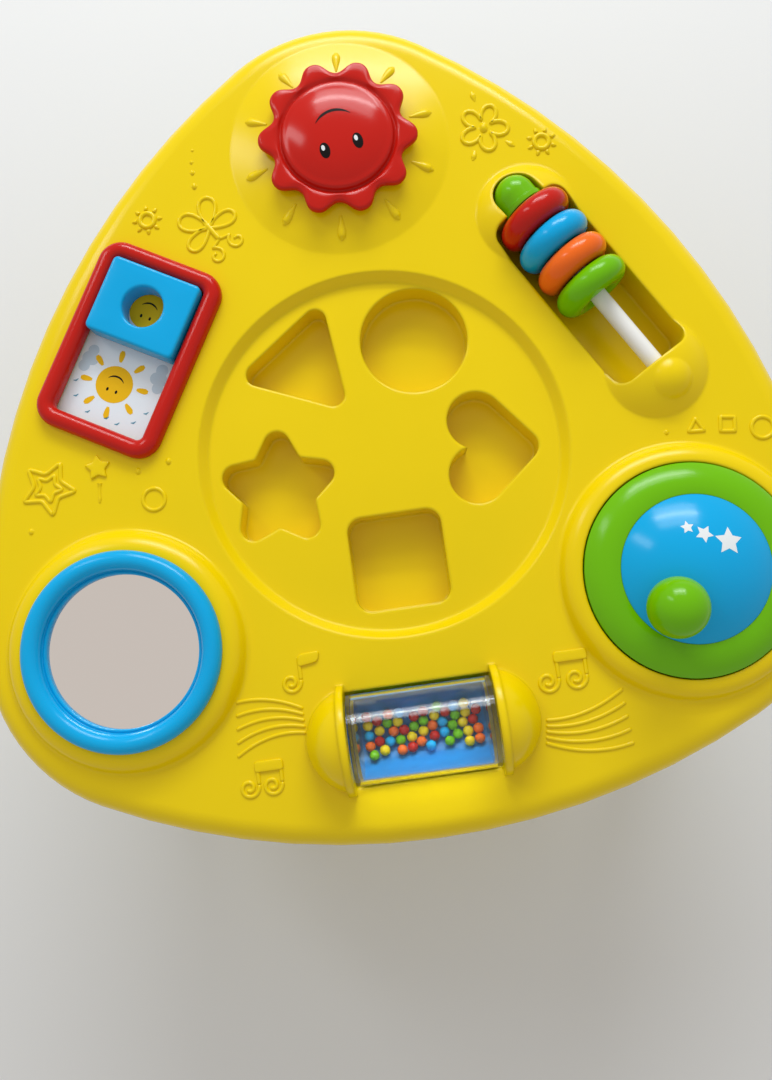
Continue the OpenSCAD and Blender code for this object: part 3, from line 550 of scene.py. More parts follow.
# each wing is its length, width and direction
WINGS = ((18.0, 11.0, 78), (18.0, 11.0, -78), (19.0, 13.0, 145), (19.0, 13.0, -145))
FLOWER = (89.5, 190.5, 62)
FLOWER_DROPS = ((86.2, 211.5, 100), (104.0, 177.9, -40), (81.1, 173.8, -110))  # middle and direction
FLOWER_MIDDLE = (*FLOWER[:2], 4.0)  # a dot is its middle and half width
TRAIL = ((-90.5, 204.6, 1.3), (-92.1, 197.0, 1.7), (-92.2, 190.2, 2.1), (-92.1, 181.4, 2.6))
SIDE_DOTS = ((-147.4, 9.7, 2.6), (-128.5, 12.9, 2.6), (-215.6, -17.4, 2.4), (167.6, -13.4, 2.2))
BIG_STAR, BIG_STAR_R, INNER_STAR_R = (-202.5, 7.4, 40), 17.0, 9.0
WAND_STAR, WAND_STAR_R = (-171.3, 15.2), 8.2
WAND = [(-171.2, 5.6), (-172.4, -6.0)]
BUBBLE, BUBBLE_R = (-139.8, -8.6), 6.6
SINGLE_NOTE = (-72.5, -128.2, 15.0, 6.0)  # middle of the head, height of the stem, radius of the head
LEFT_NOTES = (-104.4, -184.6, 13.0, 5.9)
RIGHT_NOTES = (75.5, -148.3, 15.0, 6.6)
LEFT_GAP, RIGHT_GAP = 13.6, 16.3  # between the two heads of a pair
# a staff is the ends of its first line, that line's sag, and what each end and the sag gain from line to line
LEFT_STAFF = ((-67.3, -143.7), (-106.5, -135.0), 3.4, (0, -3.5), (-0.7, -7.8), 0.3)
RIGHT_STAFF = ((70.7, -169.7), (117.6, -157.8), -4.4, (-0.5, -3.2), (0.4, -7.8), 0.0)
TRIANGLE = [(180.6, -14.9), (189.6, -15.6), (185.6, -7.6)]
SQUARE, SQUARE_HALF = (203.8, -13.8, -8), 4.2
CIRCLE, CIRCLE_R = (223.6, -18.8), 6.4


def dot(cx, cy, half):
    return [(cx - half, cy), (cx + half, cy)], False, half


def drop(cx, cy, angle, length=7.0):
    """A short line, thickest beyond its middle in its own direction."""
    return placed([(-length / 2, 0), (length / 2, 0)], cx, cy, angle), False, [0.6, 1.6, 2.1, 2.0, 0.8]


def sun_rays(near=46.0, far=60.5):
    """Raised rays on the sun's mound, between the tips of the button's rim."""
    lines = []
    for k in range(SUN_RAYS):
        a = SUN[0] + SUN_TURN + (k + 0.5) * 360 / SUN_RAYS
        ray = placed([polar(near, a), polar(far, a)], *in_station(SUN))
        lines.append((ray, False, [0.7, 1.3, 1.9, 2.5, 3.0, 3.1, 2.7, 0.9]))
    return lines


def little_sun(cx, cy, turn, disc=4.4, near=6.4, far=9.4):
    lines = [(ring(disc, cx, cy), True, LINE * 1.25)]
    for k in range(8):
        ray = placed([polar(near, 45 * k), polar(far, 45 * k)], cx, cy, turn)
        lines.append((ray, False, [1.2, 1.4, 1.1, 0.5]))
    return lines


def wing(length, width, angle):
    """A closed leaf from the middle outwards, broadest towards its tip."""
    leaf = []
    for i in range(28):
        t = 2 * math.pi * i / 28
        out = (1 - math.cos(t)) / 2
        leaf.append(turned(length * out, width / 2 * math.sin(t) * (0.4 + 0.7 * out), angle))
    return leaf


def butterfly(cx, cy, turn):
    """Its head points along +x before it is turned."""
    lines = [(placed(wing(*size), cx, cy, turn), True, LINE) for size in WINGS]
    lines.append((placed([(-3, 0), (11, 0)], cx, cy, turn), False, LINE * 1.4))
    for side in (1, -1):
        feeler = [(10, 0)] + [(x, side * y) for x, y in spiral(5.6, 1.1, -165, 17.5, 8.0)]
        lines.append((placed(feeler, cx, cy, turn), False, LINE * 0.9))
    return lines


def flower(cx, cy, turn, core=5.5, petals=9.5, steps=100):
    """Five petals in one line."""
    outline = []
    for i in range(steps):
        a = 360 * i / steps
        bulge = abs(math.cos(math.radians(2.5 * a))) ** 0.8
        outline.append(polar(core + petals * bulge, a + turn))
    return [(placed(outline, cx, cy), True, LINE * 1.15)]


def eighth_note(cx, cy, height, r):
    """A curled head, with a stem on its right."""
    head = spiral(r, -1.5, 15, cx, cy)
    return [(head, False, LINE), ([(cx + r, cy + 1), (cx + r, cy + height)], False, LINE)]


def note_flag(cx, cy, height, r):
    """Outline of the flag on that stem."""
    return placed([(-1.2, -6.4), (11.3, -4.6), (12.8, 1.6), (-0.2, 1.0)], cx + r, cy + height)


def beamed_notes(gap, cx, cy, height, r):
    return eighth_note(cx, cy, height, r) + eighth_note(cx + gap, cy, height, r)


def note_beam(gap, cx, cy, height, r):
    """Outline of the beam across the two stems."""
    return placed([(-1.8, -4.6), (gap + 1.8, -4.6), (gap + 1.4, 1.6), (-1.4, 1.6)], cx + r, cy + height)


def staff(start, end, sag, start_gain, end_gain, sag_gain, steps=20):
    """Five bowed lines that fan out."""
    lines = []
    for k in range(5):
        a = (start[0] + start_gain[0] * k, start[1] + start_gain[1] * k)
        b = (end[0] + end_gain[0] * k, end[1] + end_gain[1] * k)
        line = []
        for t in (i / steps for i in range(steps + 1)):
            x, y = between(a, b, t)
            line.append((x, y + 4 * (sag + sag_gain * k) * t * (1 - t)))
        lines.append((line, False, LINE * 0.9))
    return lines


def shape_row():
    """A triangle, a square and a circle in a row."""
    h = SQUARE_HALF
    square = placed([(-h, -h), (h, -h), (h, h), (-h, h)], *SQUARE)
    return [(outline, True, LINE) for outline in (TRIANGLE, square, ring(CIRCLE_R, *CIRCLE))]


relief("relief_sun_rays", sun_rays(), sunk=0.45)
relief("relief_little_suns", [line for sun in LITTLE_SUNS for line in little_sun(*sun)])
relief("relief_butterfly", butterfly(*BUTTERFLY))
relief("relief_flower", flower(*FLOWER))
dots = [dot(*place) for place in (*TRAIL, *SIDE_DOTS, FLOWER_MIDDLE)]
relief("relief_dots", dots + [drop(*place) for place in FLOWER_DROPS], sunk=0.5)
relief(
    "relief_stars",
    [
        (rounded(placed(star(BIG_STAR_R), *BIG_STAR), 2.2), True, LINE * 1.1),
        (rounded(placed(star(INNER_STAR_R), *BIG_STAR), 1.6), True, LINE),
        (WAND, False, [1.6, 0.8, 0.8, 0.8, 1.1, 0.6]),
        (ring(BUBBLE_R, *BUBBLE), True, LINE),
    ],
)
relief("relief_note", eighth_note(*SINGLE_NOTE))
relief("relief_notes_left", beamed_notes(LEFT_GAP, *LEFT_NOTES))
relief("relief_notes_right", beamed_notes(RIGHT_GAP, *RIGHT_NOTES))
relief("relief_staff_left", staff(*LEFT_STAFF))
relief("relief_staff_right", staff(*RIGHT_STAFF))
relief("relief_shapes", shape_row())

PLATE_H, PLATE_SOFT = 1.5, 1.0  # height of a solid low shape, and the radius of its edge


def raised_plates(name, outlines):
    """Solid low shapes on the yellow top, with soft edges."""
    edge = arc(PLATE_SOFT, 180, 90, 5, PLATE_SOFT, PLATE_H - PLATE_SOFT)
    points, faces = [], []
    for outline in outlines:
        n, start = len(outline), len(points)
        cx = sum(x for x, _ in outline) / n
        cy = sum(y for _, y in outline) / n
        reach = sum(math.dist((cx, cy), p) for p in outline) / n
        rows = [(0.0, -0.5)] + edge + [(reach * 0.6, PLATE_H + 0.1)]
        for inset, z in rows:
            points += [on_table(*between((cx, cy), p, 1 - inset / reach), z) for p in outline]
        faces += skin(len(rows), n, start)
        faces += [[end + i for i in range(n)] for end in (start, start + (len(rows) - 1) * n)]
    settle(new_piece(name, points, faces, RAISED_YELLOW, sharp=50), "table")


plates = [
    rounded(note_flag(*SINGLE_NOTE), 2.4),
    rounded(note_beam(LEFT_GAP, *LEFT_NOTES), 1.8),
    rounded(note_beam(RIGHT_GAP, *RIGHT_NOTES), 1.8),
    rounded(placed(star(WAND_STAR_R, 0.55), *WAND_STAR), 1.0, 3),
]
raised_plates("relief_plates", plates)

# -------------------------------------------------- sun button

SUN_TIP, SUN_SCALLOP = 48.5, 7.8  # reach of the rim's tips, and how far the hollows between them go in
SUN_DOME, SUN_TOP, SUN_DROP, SUN_SHOULDER = 34.0, 22.0, 6.5, 2.8
SUN_RIM_FOOT, SUN_RIM_TOP, SUN_RIM_SOFT = 36.2, 14.5, 2.4
SUN_WELL, SUN_BORE, SUN_SKIRT_FOOT, SUN_INSIDE = 37.4, 35.2, 0.6, 13.0  # the skirt's radii and heights
# points of the section, from the dome outwards and then back underneath
SUN_GROOVE = ((34.1, 13.7), (34.6, 13.3), (35.3, 13.4), (SUN_RIM_FOOT, 14.2))  # radius and height
SUN_RIM_BACK = ((0.12, 14.75), (0.35, 15.0), (0.65, 14.95), (0.88, 14.7))  # share of the rim and height
SUN_UNDERSIDE = ((0.0, 11.4), (0.25, 10.65), (0.9, 10.25), (1.8, 10.2))  # way in from the edge and height
SUN_SKIRT = (
    (SUN_WELL + 0.2, 10.4), (SUN_WELL, 10.0), (SUN_WELL, SUN_SKIRT_FOOT),
    (SUN_BORE, SUN_SKIRT_FOOT), (SUN_BORE, SUN_INSIDE), (2.0, SUN_INSIDE),
)  # radius and height
SUN_STEPS = 24 * SUN_RAYS


def sun_edge(angle):
    """Distance of the scalloped edge from the middle: round tips and hollows with steep flanks."""
    a = math.radians(SUN_RAYS * (angle - SUN_TURN))
    wave = math.cos(a) - 0.03 * math.cos(2 * a) - 0.045 * math.cos(3 * a) + 0.03
    return SUN_TIP + SUN_SCALLOP / 2 * (wave / 0.955 - 1)  # 0.955 is the wave at a tip


def sun_dome_height(r):
    """Flatter in the middle than a ball, and steeper towards its shoulder."""
    return SUN_TOP - SUN_DROP * (r / SUN_DOME) ** 2.6


def sun_circle(r, z):
    return [at_station(SUN, *polar(r, 360 * i / SUN_STEPS), z) for i in range(SUN_STEPS)]


def sun_scallops(inset, z, share=1.0):
    """A ring that lies a share of the way from the foot of the rim to a line inside the scalloped edge."""
    points = []
    for i in range(SUN_STEPS):
        a = 360 * i / SUN_STEPS
        r = SUN_RIM_FOOT + (sun_edge(a) - inset - SUN_RIM_FOOT) * share
        points.append(at_station(SUN, *polar(r, a), z))
    return points


def sun_button():
    """The red cap: a dome in a groove, a soft scalloped rim, and a skirt that slides in its well."""
    brow = SUN_DOME - SUN_SHOULDER
    rows = [sun_circle(r, sun_dome_height(r)) for r in (1, 5, 10, 15, 20, 25, 29, brow)]
    shoulder = arc(SUN_SHOULDER, 80, 0, 6, brow, sun_dome_height(brow) - SUN_SHOULDER)
    rows += [sun_circle(r, z) for r, z in (*shoulder, *SUN_GROOVE)]
    rows += [sun_scallops(SUN_RIM_SOFT, z, share) for share, z in SUN_RIM_BACK]
    edge = arc(SUN_RIM_SOFT, 90, 0, 7, 0, SUN_RIM_TOP - SUN_RIM_SOFT)
    rows += [sun_scallops(SUN_RIM_SOFT - x, z) for x, z in edge]
    rows += [sun_scallops(inset, z) for inset, z in SUN_UNDERSIDE]
    rows += [sun_circle(r, z) for r, z in SUN_SKIRT]
    return loft("sun_button", rows, RED, sharp=60)


settle(sun_button(), "sun_button", ["sun_cap"])

SPRING_R, SPRING_WIRE, SPRING_TURNS = 8.4, 0.6, 5
SPRING_FOOT, SPRING_TOP = -2.3, 7.3
SPRING_RISE = 2.1 * SPRING_WIRE  # of the closed turn at each end


def return_spring():
    """A compression spring with a closed turn at each end."""
    steps = 60 * SPRING_TURNS
    open_turns = SPRING_TURNS - 2
    open_rise = SPRING_TOP - SPRING_FOOT - 2 * SPRING_RISE
    wire = []
    for i in range(steps + 1):
        t = SPRING_TURNS * i / steps
        closed = min(t, 1) + max(0.0, t - SPRING_TURNS + 1)
        z = SPRING_FOOT + SPRING_RISE * closed + open_rise * (t - closed) / open_turns
        wire.append((at_station(SUN, *polar(SPRING_R, 360 * t), z), SPRING_WIRE))
    return swept("sun_return_spring", [(wire, False)], STEEL)


spring = return_spring()
settle(spring, "table", ["sun_spring"])
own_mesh(spring)

# -------------------------------------------------- slider block and mirror ring

BLOCK_W, BLOCK_L, BLOCK_CORNER = 57.0, 47.5, 3.2
BLOCK_TOP, BLOCK_FOOT = 11.0, -3.9
BLOCK_AT = -26.9  # its middle, along the frame
BLOCK_SOFT, HOLE_SOFT = 1.8, 1.6
HOLE_R = 12.5
FLANGE_W, FLANGE_L, FLANGE_T, FLANGE_CORNER = 60.2, 41.5, 2.2, 1.0


def rounded_box(w, l, r):
    """Outline of a rectangle with round corners, its points no more than 1.5 mm apart."""
    points = []
    for sx, sy, start in ((1, 1, 0), (-1, 1, 90), (-1, -1, 180), (1, -1, 270)):
        points += arc(r, start, start + 90, 8, sx * (w / 2 - r), sy * (l / 2 - r))
    return refined(points, True, 1.5)


def block_ring(outline, z):
    return [at_station(SLIDER, x, BLOCK_AT + y, z) for x, y in outline]


def hole_ring(outline, r, z):
    """A ring of the finger hole, with a point for each point of an outline round it."""
    return block_ring([polar(r, math.degrees(math.atan2(y, x))) for x, y in outline], z)


def slider_block():
    """A block with soft edges, and a finger hole right through it."""
    side = rounded_box(BLOCK_W, BLOCK_L, BLOCK_CORNER)
    rows = [block_ring(side, BLOCK_FOOT)]
    for x, z in arc(BLOCK_SOFT, 0, 90, 7, 0, BLOCK_TOP - BLOCK_SOFT):
        inset = BLOCK_SOFT - x
        shares = (1 - 2 * inset / BLOCK_W, 1 - 2 * inset / BLOCK_L)
        rows.append(block_ring([(px * shares[0], py * shares[1]) for px, py in side], z))
    for x, z in arc(HOLE_SOFT, 90, 0, 7, 0, BLOCK_TOP - HOLE_SOFT):
        rows.append(hole_ring(side, HOLE_R + HOLE_SOFT - x, z))
    rows.append(hole_ring(side, HOLE_R, BLOCK_FOOT))
    return loft("slider_block_body", rows, BLUE, closed=True, sharp=50)


def slider_flange():
    """The flange under the frame's lip, with the finger hole through it."""
    side = rounded_box(FLANGE_W, FLANGE_L, FLANGE_CORNER)
    low, high = BLOCK_FOOT, BLOCK_FOOT + FLANGE_T
    rows = [block_ring(side, z) for z in (low, high)] + [hole_ring(side, HOLE_R, z) for z in (high, low)]
    return loft("slider_block_flange", rows, BLUE, closed=True)


settle(slider_block(), "slider", ["slider_block"])
settle(slider_flange(), "slider")

RIM_BEAD, RIM_R, RIM_Z = 5.8, 53.0, 11.5  # radius of the mirror's round bead, and where its middle lies
RIM_LIP = [(47.1, 9.4), (46.8, 9.2), (46.3, 9.5), (45.8, 9.7), (45.2, 9.6), (44.85, 9.1), (44.8, 6.5)]
RIM_BACK = [(48.8, 6.5), (48.8, 9.9)]


def mirror_rim(steps=144):
    """The mirror's ring: a thick round bead with a thin lip inside it."""
    section = arc(RIM_BEAD, -16, 196, 26, RIM_R, RIM_Z) + RIM_LIP + RIM_BACK
    rows = [[at_station(MIRROR, *polar(r, 360 * i / steps), z) for i in range(steps)] for r, z in section]
    return loft("mirror_rim", rows, BLUE, closed=True, sharp=40)


settle(mirror_rim(), "table", ["mirror_ring"])

# -------------------------------------------------- loose beads in the drum

DRUM_Z = 4.0
BEAD_R, BEAD_RING = 3.1, 19.45  # a bead's radius, and the distance of its middle from the drum's axis
BEAD_ROWS, BEAD_FILES, BEAD_PITCH = 11, 5, 6.5
BEAD_ROOM = (BEAD_ROWS - 1) / 2 * BEAD_PITCH
BEAD_COLOURS = {"red": RED, "orange": ORANGE, "yellow": YELLOW, "green": GREEN, "blue": BLUE}
BEAD_SHAKE, BEAD_GAP, BEAD_ROUNDS = 2.4, 0.1, 400


def bead_places():
    """Each bead as [place along the drum, way round its bottom, colour], shaken until none overlap."""
    shake = random.Random(11)
    beads = []
    for i in range(BEAD_ROWS):
        for j in range(BEAD_FILES):
            inner = 0 < j < BEAD_FILES - 1  # a third of the outer ones is left out
            if inner or (i * BEAD_FILES + j - 2) % 3 != 0:
                colour = (3 * i + 7 * j + i * j // 3) % len(BEAD_COLOURS)
                x, y = (i - (BEAD_ROWS - 1) / 2) * BEAD_PITCH, (j - BEAD_FILES // 2) * BEAD_PITCH
                x += shake.uniform(-BEAD_SHAKE, BEAD_SHAKE)
                beads.append([x, y + shake.uniform(-BEAD_SHAKE, BEAD_SHAKE), colour])
    apart = 2 * BEAD_R + BEAD_GAP
    for turn in range(BEAD_ROUNDS):
        for k, a in enumerate(beads):
            for b in beads[:k]:
                dx, dy = b[0] - a[0], b[1] - a[1]
                gap = math.hypot(dx, dy)
                if gap < apart:
                    push = (apart - gap) / 2 / max(gap, 0.01)
                    a[0], a[1] = a[0] - dx * push, a[1] - dy * push
                    b[0], b[1] = b[0] + dx * push, b[1] + dy * push
        for bead in beads:
            bead[0] = max(-BEAD_ROOM, min(BEAD_ROOM, bead[0]))
            if turn < BEAD_ROUNDS / 2:
                bead[1] *= 0.997  # they crowd towards the bottom
    return beads


def beads_tree():
    """Sets a bead on every point."""
    radius, material = ("Bead Radius", "Float", BEAD_R * MM), ("Material", "Material", None)
    tree, source, out = new_group("beads_in_place", radius, material)
    ball = add_node(tree, "GeometryNodeMeshIcoSphere", (-500, -200))
    set_inputs(ball, Subdivisions=4)
    smooth = add_node(tree, "GeometryNodeSetShadeSmooth", (-250, -200))
    beads = add_node(tree, "GeometryNodeInstanceOnPoints", (0, 0))
    link = tree.links.new
    link(source.outputs["Bead Radius"], ball.inputs["Radius"])
    link(ball.outputs["Mesh"], smooth.inputs["Geometry"])
    link(smooth.outputs["Geometry"], beads.inputs["Instance"])
    link(source.outputs["Geometry"], beads.inputs["Points"])
    end_group(tree, source, out, beads.outputs["Instances"])
    return tree


def points_piece(name, points):
    """A piece of bare points, for a group to set things on."""
    mesh = bpy.data.meshes.new(name)
    mesh.from_pydata(points, [], [])
    return into_scene(name, mesh)


def loose_beads():
    places, tree = bead_places(), beads_tree()
    for number, (colour, material) in enumerate(BEAD_COLOURS.items()):
        points = []
        for along, round_it, bead_colour in places:
            if bead_colour == number:
                a = round_it / BEAD_RING
                out, up = BEAD_RING * math.sin(a), DRUM_Z - BEAD_RING * math.cos(a)
                points.append(at_station(ROLLER, out, along, up))
        piece = points_piece("loose_beads_" + colour, points)
        add_group(piece, tree, {"Material": material})
        settle(bake(piece), "beads", ["beads_" + colour])


loose_beads()

# -------------------------------------------------- screws of the cover

COVER_Z = 217.5  # lowest face of the cover, and of the screw heads in their recesses
COVER_Y = -25.65  # middle of the cover, which its screws stand round
HEAD_R, HEAD_H, HEAD_SOFT, SHAFT_R, SHAFT_H = 3.0, 1.0, 0.5, 1.45, 15.1
CROSS_ARM, CROSS_HALF = 1.7, 0.42  # reach and half width of an arm of the cross recess
CROSS_WALLS = ((1.0, 0.0), (0.92, 0.25), (0.6, 0.95))  # share of its width and depth in the head
BOSSES_AT = (140.0, 225.0)
DOOR_SCREW_AT, DOOR_SCREW_SIDE = 160.0, 33.5


def cross_reach(angle):
    """Distance of the edge of the cross recess from its middle."""
    off = math.radians((angle + 45) % 90 - 45)
    at_end = abs(math.tan(off)) < CROSS_HALF / CROSS_ARM
    return CROSS_ARM / math.cos(off) if at_end else CROSS_HALF / abs(math.sin(off))


def cross_screw():
    """One screw, its head down and at the origin: a low pan head with a cross recess, and a plain shaft."""
    corner = math.degrees(math.atan2(CROSS_HALF, CROSS_ARM))
    arm = (-45, -33, -22, -corner, -7, 0, 7, corner, 22, 33)
    around = [quarter + a for quarter in (0, 90, 180, 270) for a in arm]

    def circle(r, z):
        return [Vector((*polar(r * MM, a), z * MM)) for a in around]

    def cross(share, z):
        return [Vector((*polar(cross_reach(a) * share * MM, a), z * MM)) for a in around]

    shaft = [(0.4, SHAFT_H + HEAD_H), (SHAFT_R, SHAFT_H), (SHAFT_R, HEAD_H), (HEAD_R, HEAD_H)]
    head = arc(HEAD_SOFT, 0, -90, 5, HEAD_R - HEAD_SOFT, HEAD_SOFT) + [(2.1, 0.0)]
    rows = [circle(r, z) for r, z in shaft + head] + [cross(share, z) for share, z in CROSS_WALLS]
    return loft("cross_screw", rows, STEEL, sharp=40)


def screw_tree():
    """Sets a screw on every point, each head turned its own way."""
    screw, seed, material = ("Screw", "Object", None), ("Seed", "Int", 7), ("Material", "Material", None)
    tree, source, out = new_group("screws_in_place", screw, seed, material)
    pattern = add_node(tree, "GeometryNodeObjectInfo", (-500, -150))
    turn = add_node(tree, "FunctionNodeRandomValue", (-500, -400), data_type="FLOAT_VECTOR")
    set_inputs(turn, Min=(0, 0, 0), Max=(0, 0, math.pi / 2))
    screws = add_node(tree, "GeometryNodeInstanceOnPoints", (0, 0))
    link = tree.links.new
    link(source.outputs["Geometry"], screws.inputs["Points"])
    link(source.outputs["Screw"], pattern.inputs["Object"])
    link(source.outputs["Seed"], turn.inputs["Seed"])
    link(pattern.outputs["Geometry"], screws.inputs["Instance"])
    link(turn.outputs[0], screws.inputs["Rotation"])
    end_group(tree, source, out, screws.outputs["Instances"])
    return tree


def cover_screws():
    """Twelve screws of the cover and the one of the battery door, in the underside."""
    places = [polar(at, 60 * k) for k in range(6) for at in BOSSES_AT]
    places.append(turned(DOOR_SCREW_AT, DOOR_SCREW_SIDE, MIRROR[0]))
    points = [(x * MM, (y + COVER_Y) * MM, COVER_Z * MM) for x, y in places]
    piece = points_piece("cover_cross_screws", points)
    pattern = cross_screw()
    add_group(piece, screw_tree(), {"Screw": pattern, "Material": STEEL})
    done = bake(piece)
    bpy.data.objects.remove(pattern)
    return done


settle(cover_screws(), "table", ["cover_screws", "door_screw"])

# -------------------------------------------------- printed decoration


def filled(outline, rings=4):
    """Rows of points from the middle of an outline to its edge."""
    cx = sum(x for x, _ in outline) / len(outline)
    cy = sum(y for _, y in outline) / len(outline)
    shares = [0.02] + [(k + 1) / rings for k in range(rings)]
    return [[between((cx, cy), p, share) for p in outline] for share in shares], True


def stroke(line, widths):
    """Rows of points across a line of changing half width."""
    rows = []
    for i, ((x, y), half) in enumerate(zip(line, spread(widths, len(line)))):
        a, b = line[max(0, i - 1)], line[min(len(line) - 1, i + 1)]
        run = math.dist(a, b)
        nx, ny = (a[1] - b[1]) / run * half, (b[0] - a[0]) / run * half
        rows.append([(x - nx, y - ny), (x, y), (x + nx, y + ny)])
    return rows, False


def smile(cx, cy, r, reach, turn, half):
    """A bow that opens towards -x before it is turned."""
    line = placed(arc(r, -reach, reach, 30), cx, cy, turn)
    return stroke(line, [0.15, half, half * 1.15, half, 0.15])


def printed(name, shapes, station, height, colour, body, lift):
    """Flat ink just over a surface, drawn in a station's own frame; the surface's height is a function."""
    points, faces = [], []
    for rows, around in shapes:
        n, start = len(rows[0]), len(points)
        points += [at_station(station, x, y, height(x, y) + lift) for row in rows for x, y in row]
        faces += skin(len(rows), n, start, around)
        if around:
            faces.append([start + i for i in range(n)])
    piece = new_piece(name, points, faces, colour)
    work = bmesh.new()
    work.from_mesh(piece.data)
    upside_down = [face for face in work.faces if face.normal.z < 0]
    bmesh.ops.reverse_faces(work, faces=upside_down)
    work.to_mesh(piece.data)
    work.free()
    settle(piece, body)


# a plain smiling face on the sun button, its chin outwards
FACE_TURN = 9
EYES = [turned(-10.5, side * 10.2, FACE_TURN) for side in (1, -1)]
EYE_SIZE, GLINT_SIZE = (9.5, 6.2), (3.4, 2.2)
SMILE_AT, SMILE_R, SMILE_REACH = turned(-2.5, 0, FACE_TURN), 14.5, 48


def sun_height(x, y):
    return sun_dome_height(math.hypot(x, y))


face = [filled(oval(*eye, *EYE_SIZE, FACE_TURN)) for eye in EYES]
face.append(smile(*SMILE_AT, SMILE_R, SMILE_REACH, FACE_TURN, 0.8))
glints = [filled(oval(x + 1.6, y + 0.9, *GLINT_SIZE, FACE_TURN)) for x, y in EYES]
printed("sun_face_eyes", face, SUN, sun_height, BLACK_INK, "sun_button", lift=0.06)
printed("sun_face_glints", glints, SUN, sun_height, WHITE_INK, "sun_button", lift=0.12)

# the picture card: a sun at each end, clouds and drops
CARD_Z = -4.2
CARD_SUNS = ((2.7, 21.3), (1.5, -28.5))
CARD_DROPS = (
    (22.2, 36.3), (11.5, 43.0), (-1.0, 42.5), (-8.5, 43.5), (-17.6, 39.1), (-22.6, 31.0), (26.0, 27.5),
)
# each cloud is its middle and its puffs, each at a distance and angle from there and with a radius
CARD_CLOUDS = (
    (24.0, 11.5, ((0, 0, 4.2), (5.5, 80, 3.6), (5.5, -100, 3.4), (2.5, 180, 3.8))),
    (-22.5, 8.5, ((0, 0, 4.4), (5.5, 95, 3.4), (6.0, -80, 3.8), (2.5, 0, 3.9))),
)


def card_height(x, y):
    """The same at every place: the card is flat."""
    return CARD_Z


def card_sun(cx, cy, disc=11.6, near=14.2, far=21.5):
    parts = [filled(ring(disc, cx, cy))]
    for k in range(8):
        angle = 45 * k + 8
        ray = [between(polar(near, angle), polar(far, angle), i / 8) for i in range(9)]
        parts.append(stroke(placed(ray, cx, cy), [0.7, 1.4, 1.7, 1.8, 0.9]))
    return parts


def card_face(cx, cy):
    look = [filled(oval(cx + 2.9 * side, cy + 4.0, 1.5, 2.3)) for side in (1, -1)]
    return look + [smile(cx, cy + 1.5, 6.6, 50, -90, 0.5)]


def card_drop(x, y):
    return stroke([(x - 1.2, y - 1.6), (x - 0.2, y), (x + 1.4, y + 0.4)], [0.2, 0.55, 0.2])


def cloud(cx, cy, puffs):
    """The outline round all the puffs."""
    outline = []
    for a in range(0, 360, 5):
        reach = 0.0
        for at, angle, r in puffs:
            off = math.radians(a - angle)
            across = at * math.sin(off)
            if abs(across) < r:
                reach = max(reach, at * math.cos(off) + math.sqrt(r * r - across * across))
        outline.append(polar(reach, a))
    return filled(placed(outline, cx, cy))


def print_card(name, shapes, colour, lift):
    printed(name, shapes, SLIDER, card_height, colour, "table", lift)


print_card("card_clouds", [cloud(*size) for size in CARD_CLOUDS], CLOUD_INK, 0.04)
print_card("card_suns", [part for at in CARD_SUNS for part in card_sun(*at)], SUN_INK, 0.08)
print_card("card_faces", [part for at in CARD_SUNS for part in card_face(*at)], BLACK_INK, 0.12)
print_card("card_drops", [card_drop(*at) for at in CARD_DROPS], DROP_INK, 0.08)

# white stars on the dome of the spinner
DOME_R, DOME_TOP, DOME_FOOT = 42.5, 32.0, 17.0
DOME_BALL = ball_radius(DOME_R, DOME_TOP - DOME_FOOT)
# each star is its middle, radius and turn
DOME_STARS = ((8.0, 18.8, 8.2, 20), (-6.0, 17.6, 5.2, -10), (-15.6, 17.8, 3.8, 30))


def spinner_height(x, y):
    return cap_height(math.hypot(x, y), DOME_TOP, DOME_BALL)


def printed_star(cx, cy, r, turn):
    return filled(refined(placed(star(r), cx, cy, turn), True, 1.0), 5)


stars = [printed_star(*place) for place in DOME_STARS]
printed("spinner_stars", stars, SPINNER, spinner_height, WHITE_INK, "spinner", lift=0.06)

# -------------------------------------------------- stage, lights and camera, in metres

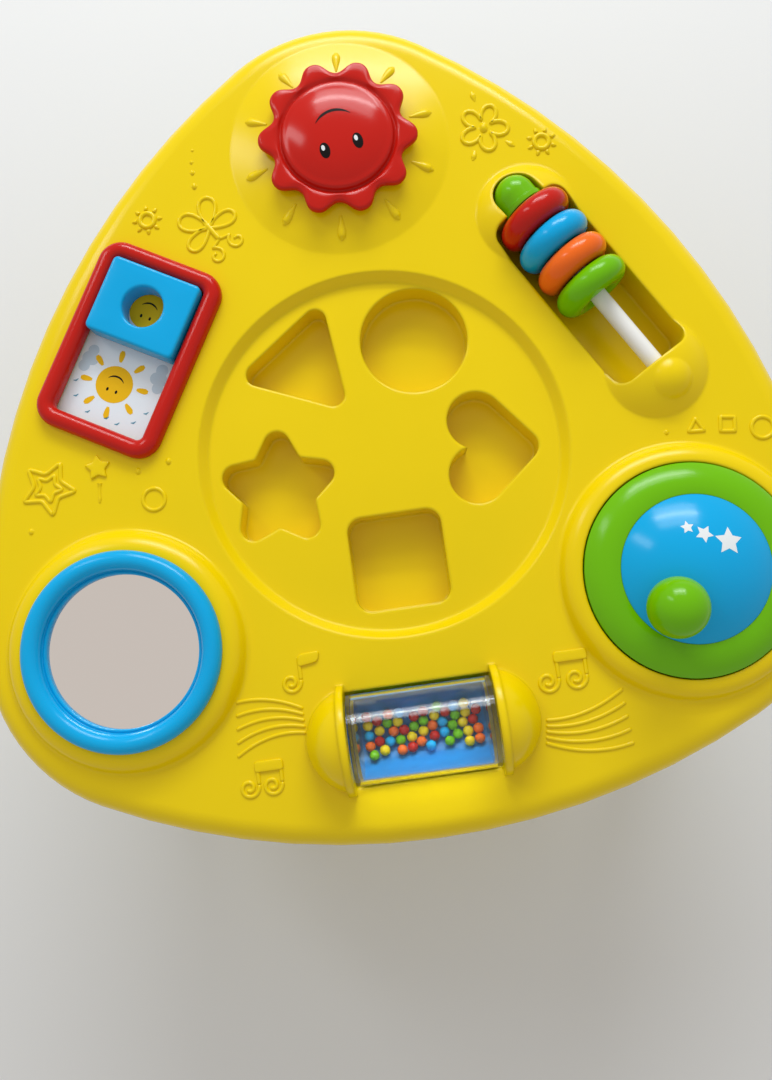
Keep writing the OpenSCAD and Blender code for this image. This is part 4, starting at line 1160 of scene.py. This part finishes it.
FLOOR_SPAN = 4.0
DAYLIGHT, ROOM_LIGHT, ROOM_STRENGTH = (0.94, 0.98, 1.0), (1.0, 0.955, 0.90, 1.0), 0.60
LIT_PLACE = Vector((0, 0, 0.25))
LAMPS = {  # place, size and watts
    "window": ((0.30, 1.8, 1.40), (1.4, 1.0), 25),
    "bright_sky": ((0.30, 1.8, 1.35), (1.5, 0.12), 11),
    "side_window": ((-1.15, 1.3, 1.7), (0.3, 0.9), 6),
}
CAMERA_AT = (0.00485, -0.12965, 0.80341)
CAMERA_TURNS = ((1.11, "Y"), (5.63, "X"), (-8.15, "Z"))
LENS, SENSOR_HEIGHT = 20.714, 24.0  # in millimetres


def add_lamp(name, place, size, watts):
    lamp = bpy.data.lights.new(name, "AREA")
    lamp.shape = "RECTANGLE"
    lamp.size, lamp.size_y = size
    lamp.energy = watts
    lamp.color = DAYLIGHT
    light = into_scene(name, lamp)
    light.location = place
    light.rotation_euler = (LIT_PLACE - Vector(place)).to_track_quat("-Z", "Y").to_euler()


def add_floor():
    mesh = bpy.data.meshes.new("floor")
    corners = [(FLOOR_SPAN * x, FLOOR_SPAN * y, 0) for x, y in ((-1, -1), (1, -1), (1, 1), (-1, 1))]
    mesh.from_pydata(corners, [], [(0, 1, 2, 3)])
    material, _, surface = shader("floor_grey")
    set_inputs(surface, Base_Color=(0.72, 0.73, 0.74, 1.0), Roughness=0.8)
    mesh.materials.append(material)
    into_scene("floor", mesh)


def add_world():
    world = bpy.data.worlds.new("studio")
    world.use_nodes = True
    set_inputs(world.node_tree.nodes["Background"], Color=ROOM_LIGHT, Strength=ROOM_STRENGTH)
    bpy.context.scene.world = world


def add_camera():
    """Almost straight down, a little turned and tilted, and close enough to cut the table's sides."""
    camera = bpy.data.cameras.new("camera")
    camera.sensor_fit = "VERTICAL"
    camera.sensor_height = SENSOR_HEIGHT
    camera.lens = LENS
    camera.clip_start = 0.01
    view = into_scene("camera", camera)
    turn = Matrix()
    for angle, axis in CAMERA_TURNS:
        turn = turn @ Matrix.Rotation(math.radians(angle), 4, axis)
    view.matrix_world = Matrix.Translation(CAMERA_AT) @ turn
    bpy.context.scene.camera = view


add_floor()
add_world()
for lamp_name, lamp_settings in LAMPS.items():
    add_lamp(lamp_name, *lamp_settings)
add_camera()
bpy.context.scene.view_settings.view_transform = "Standard"
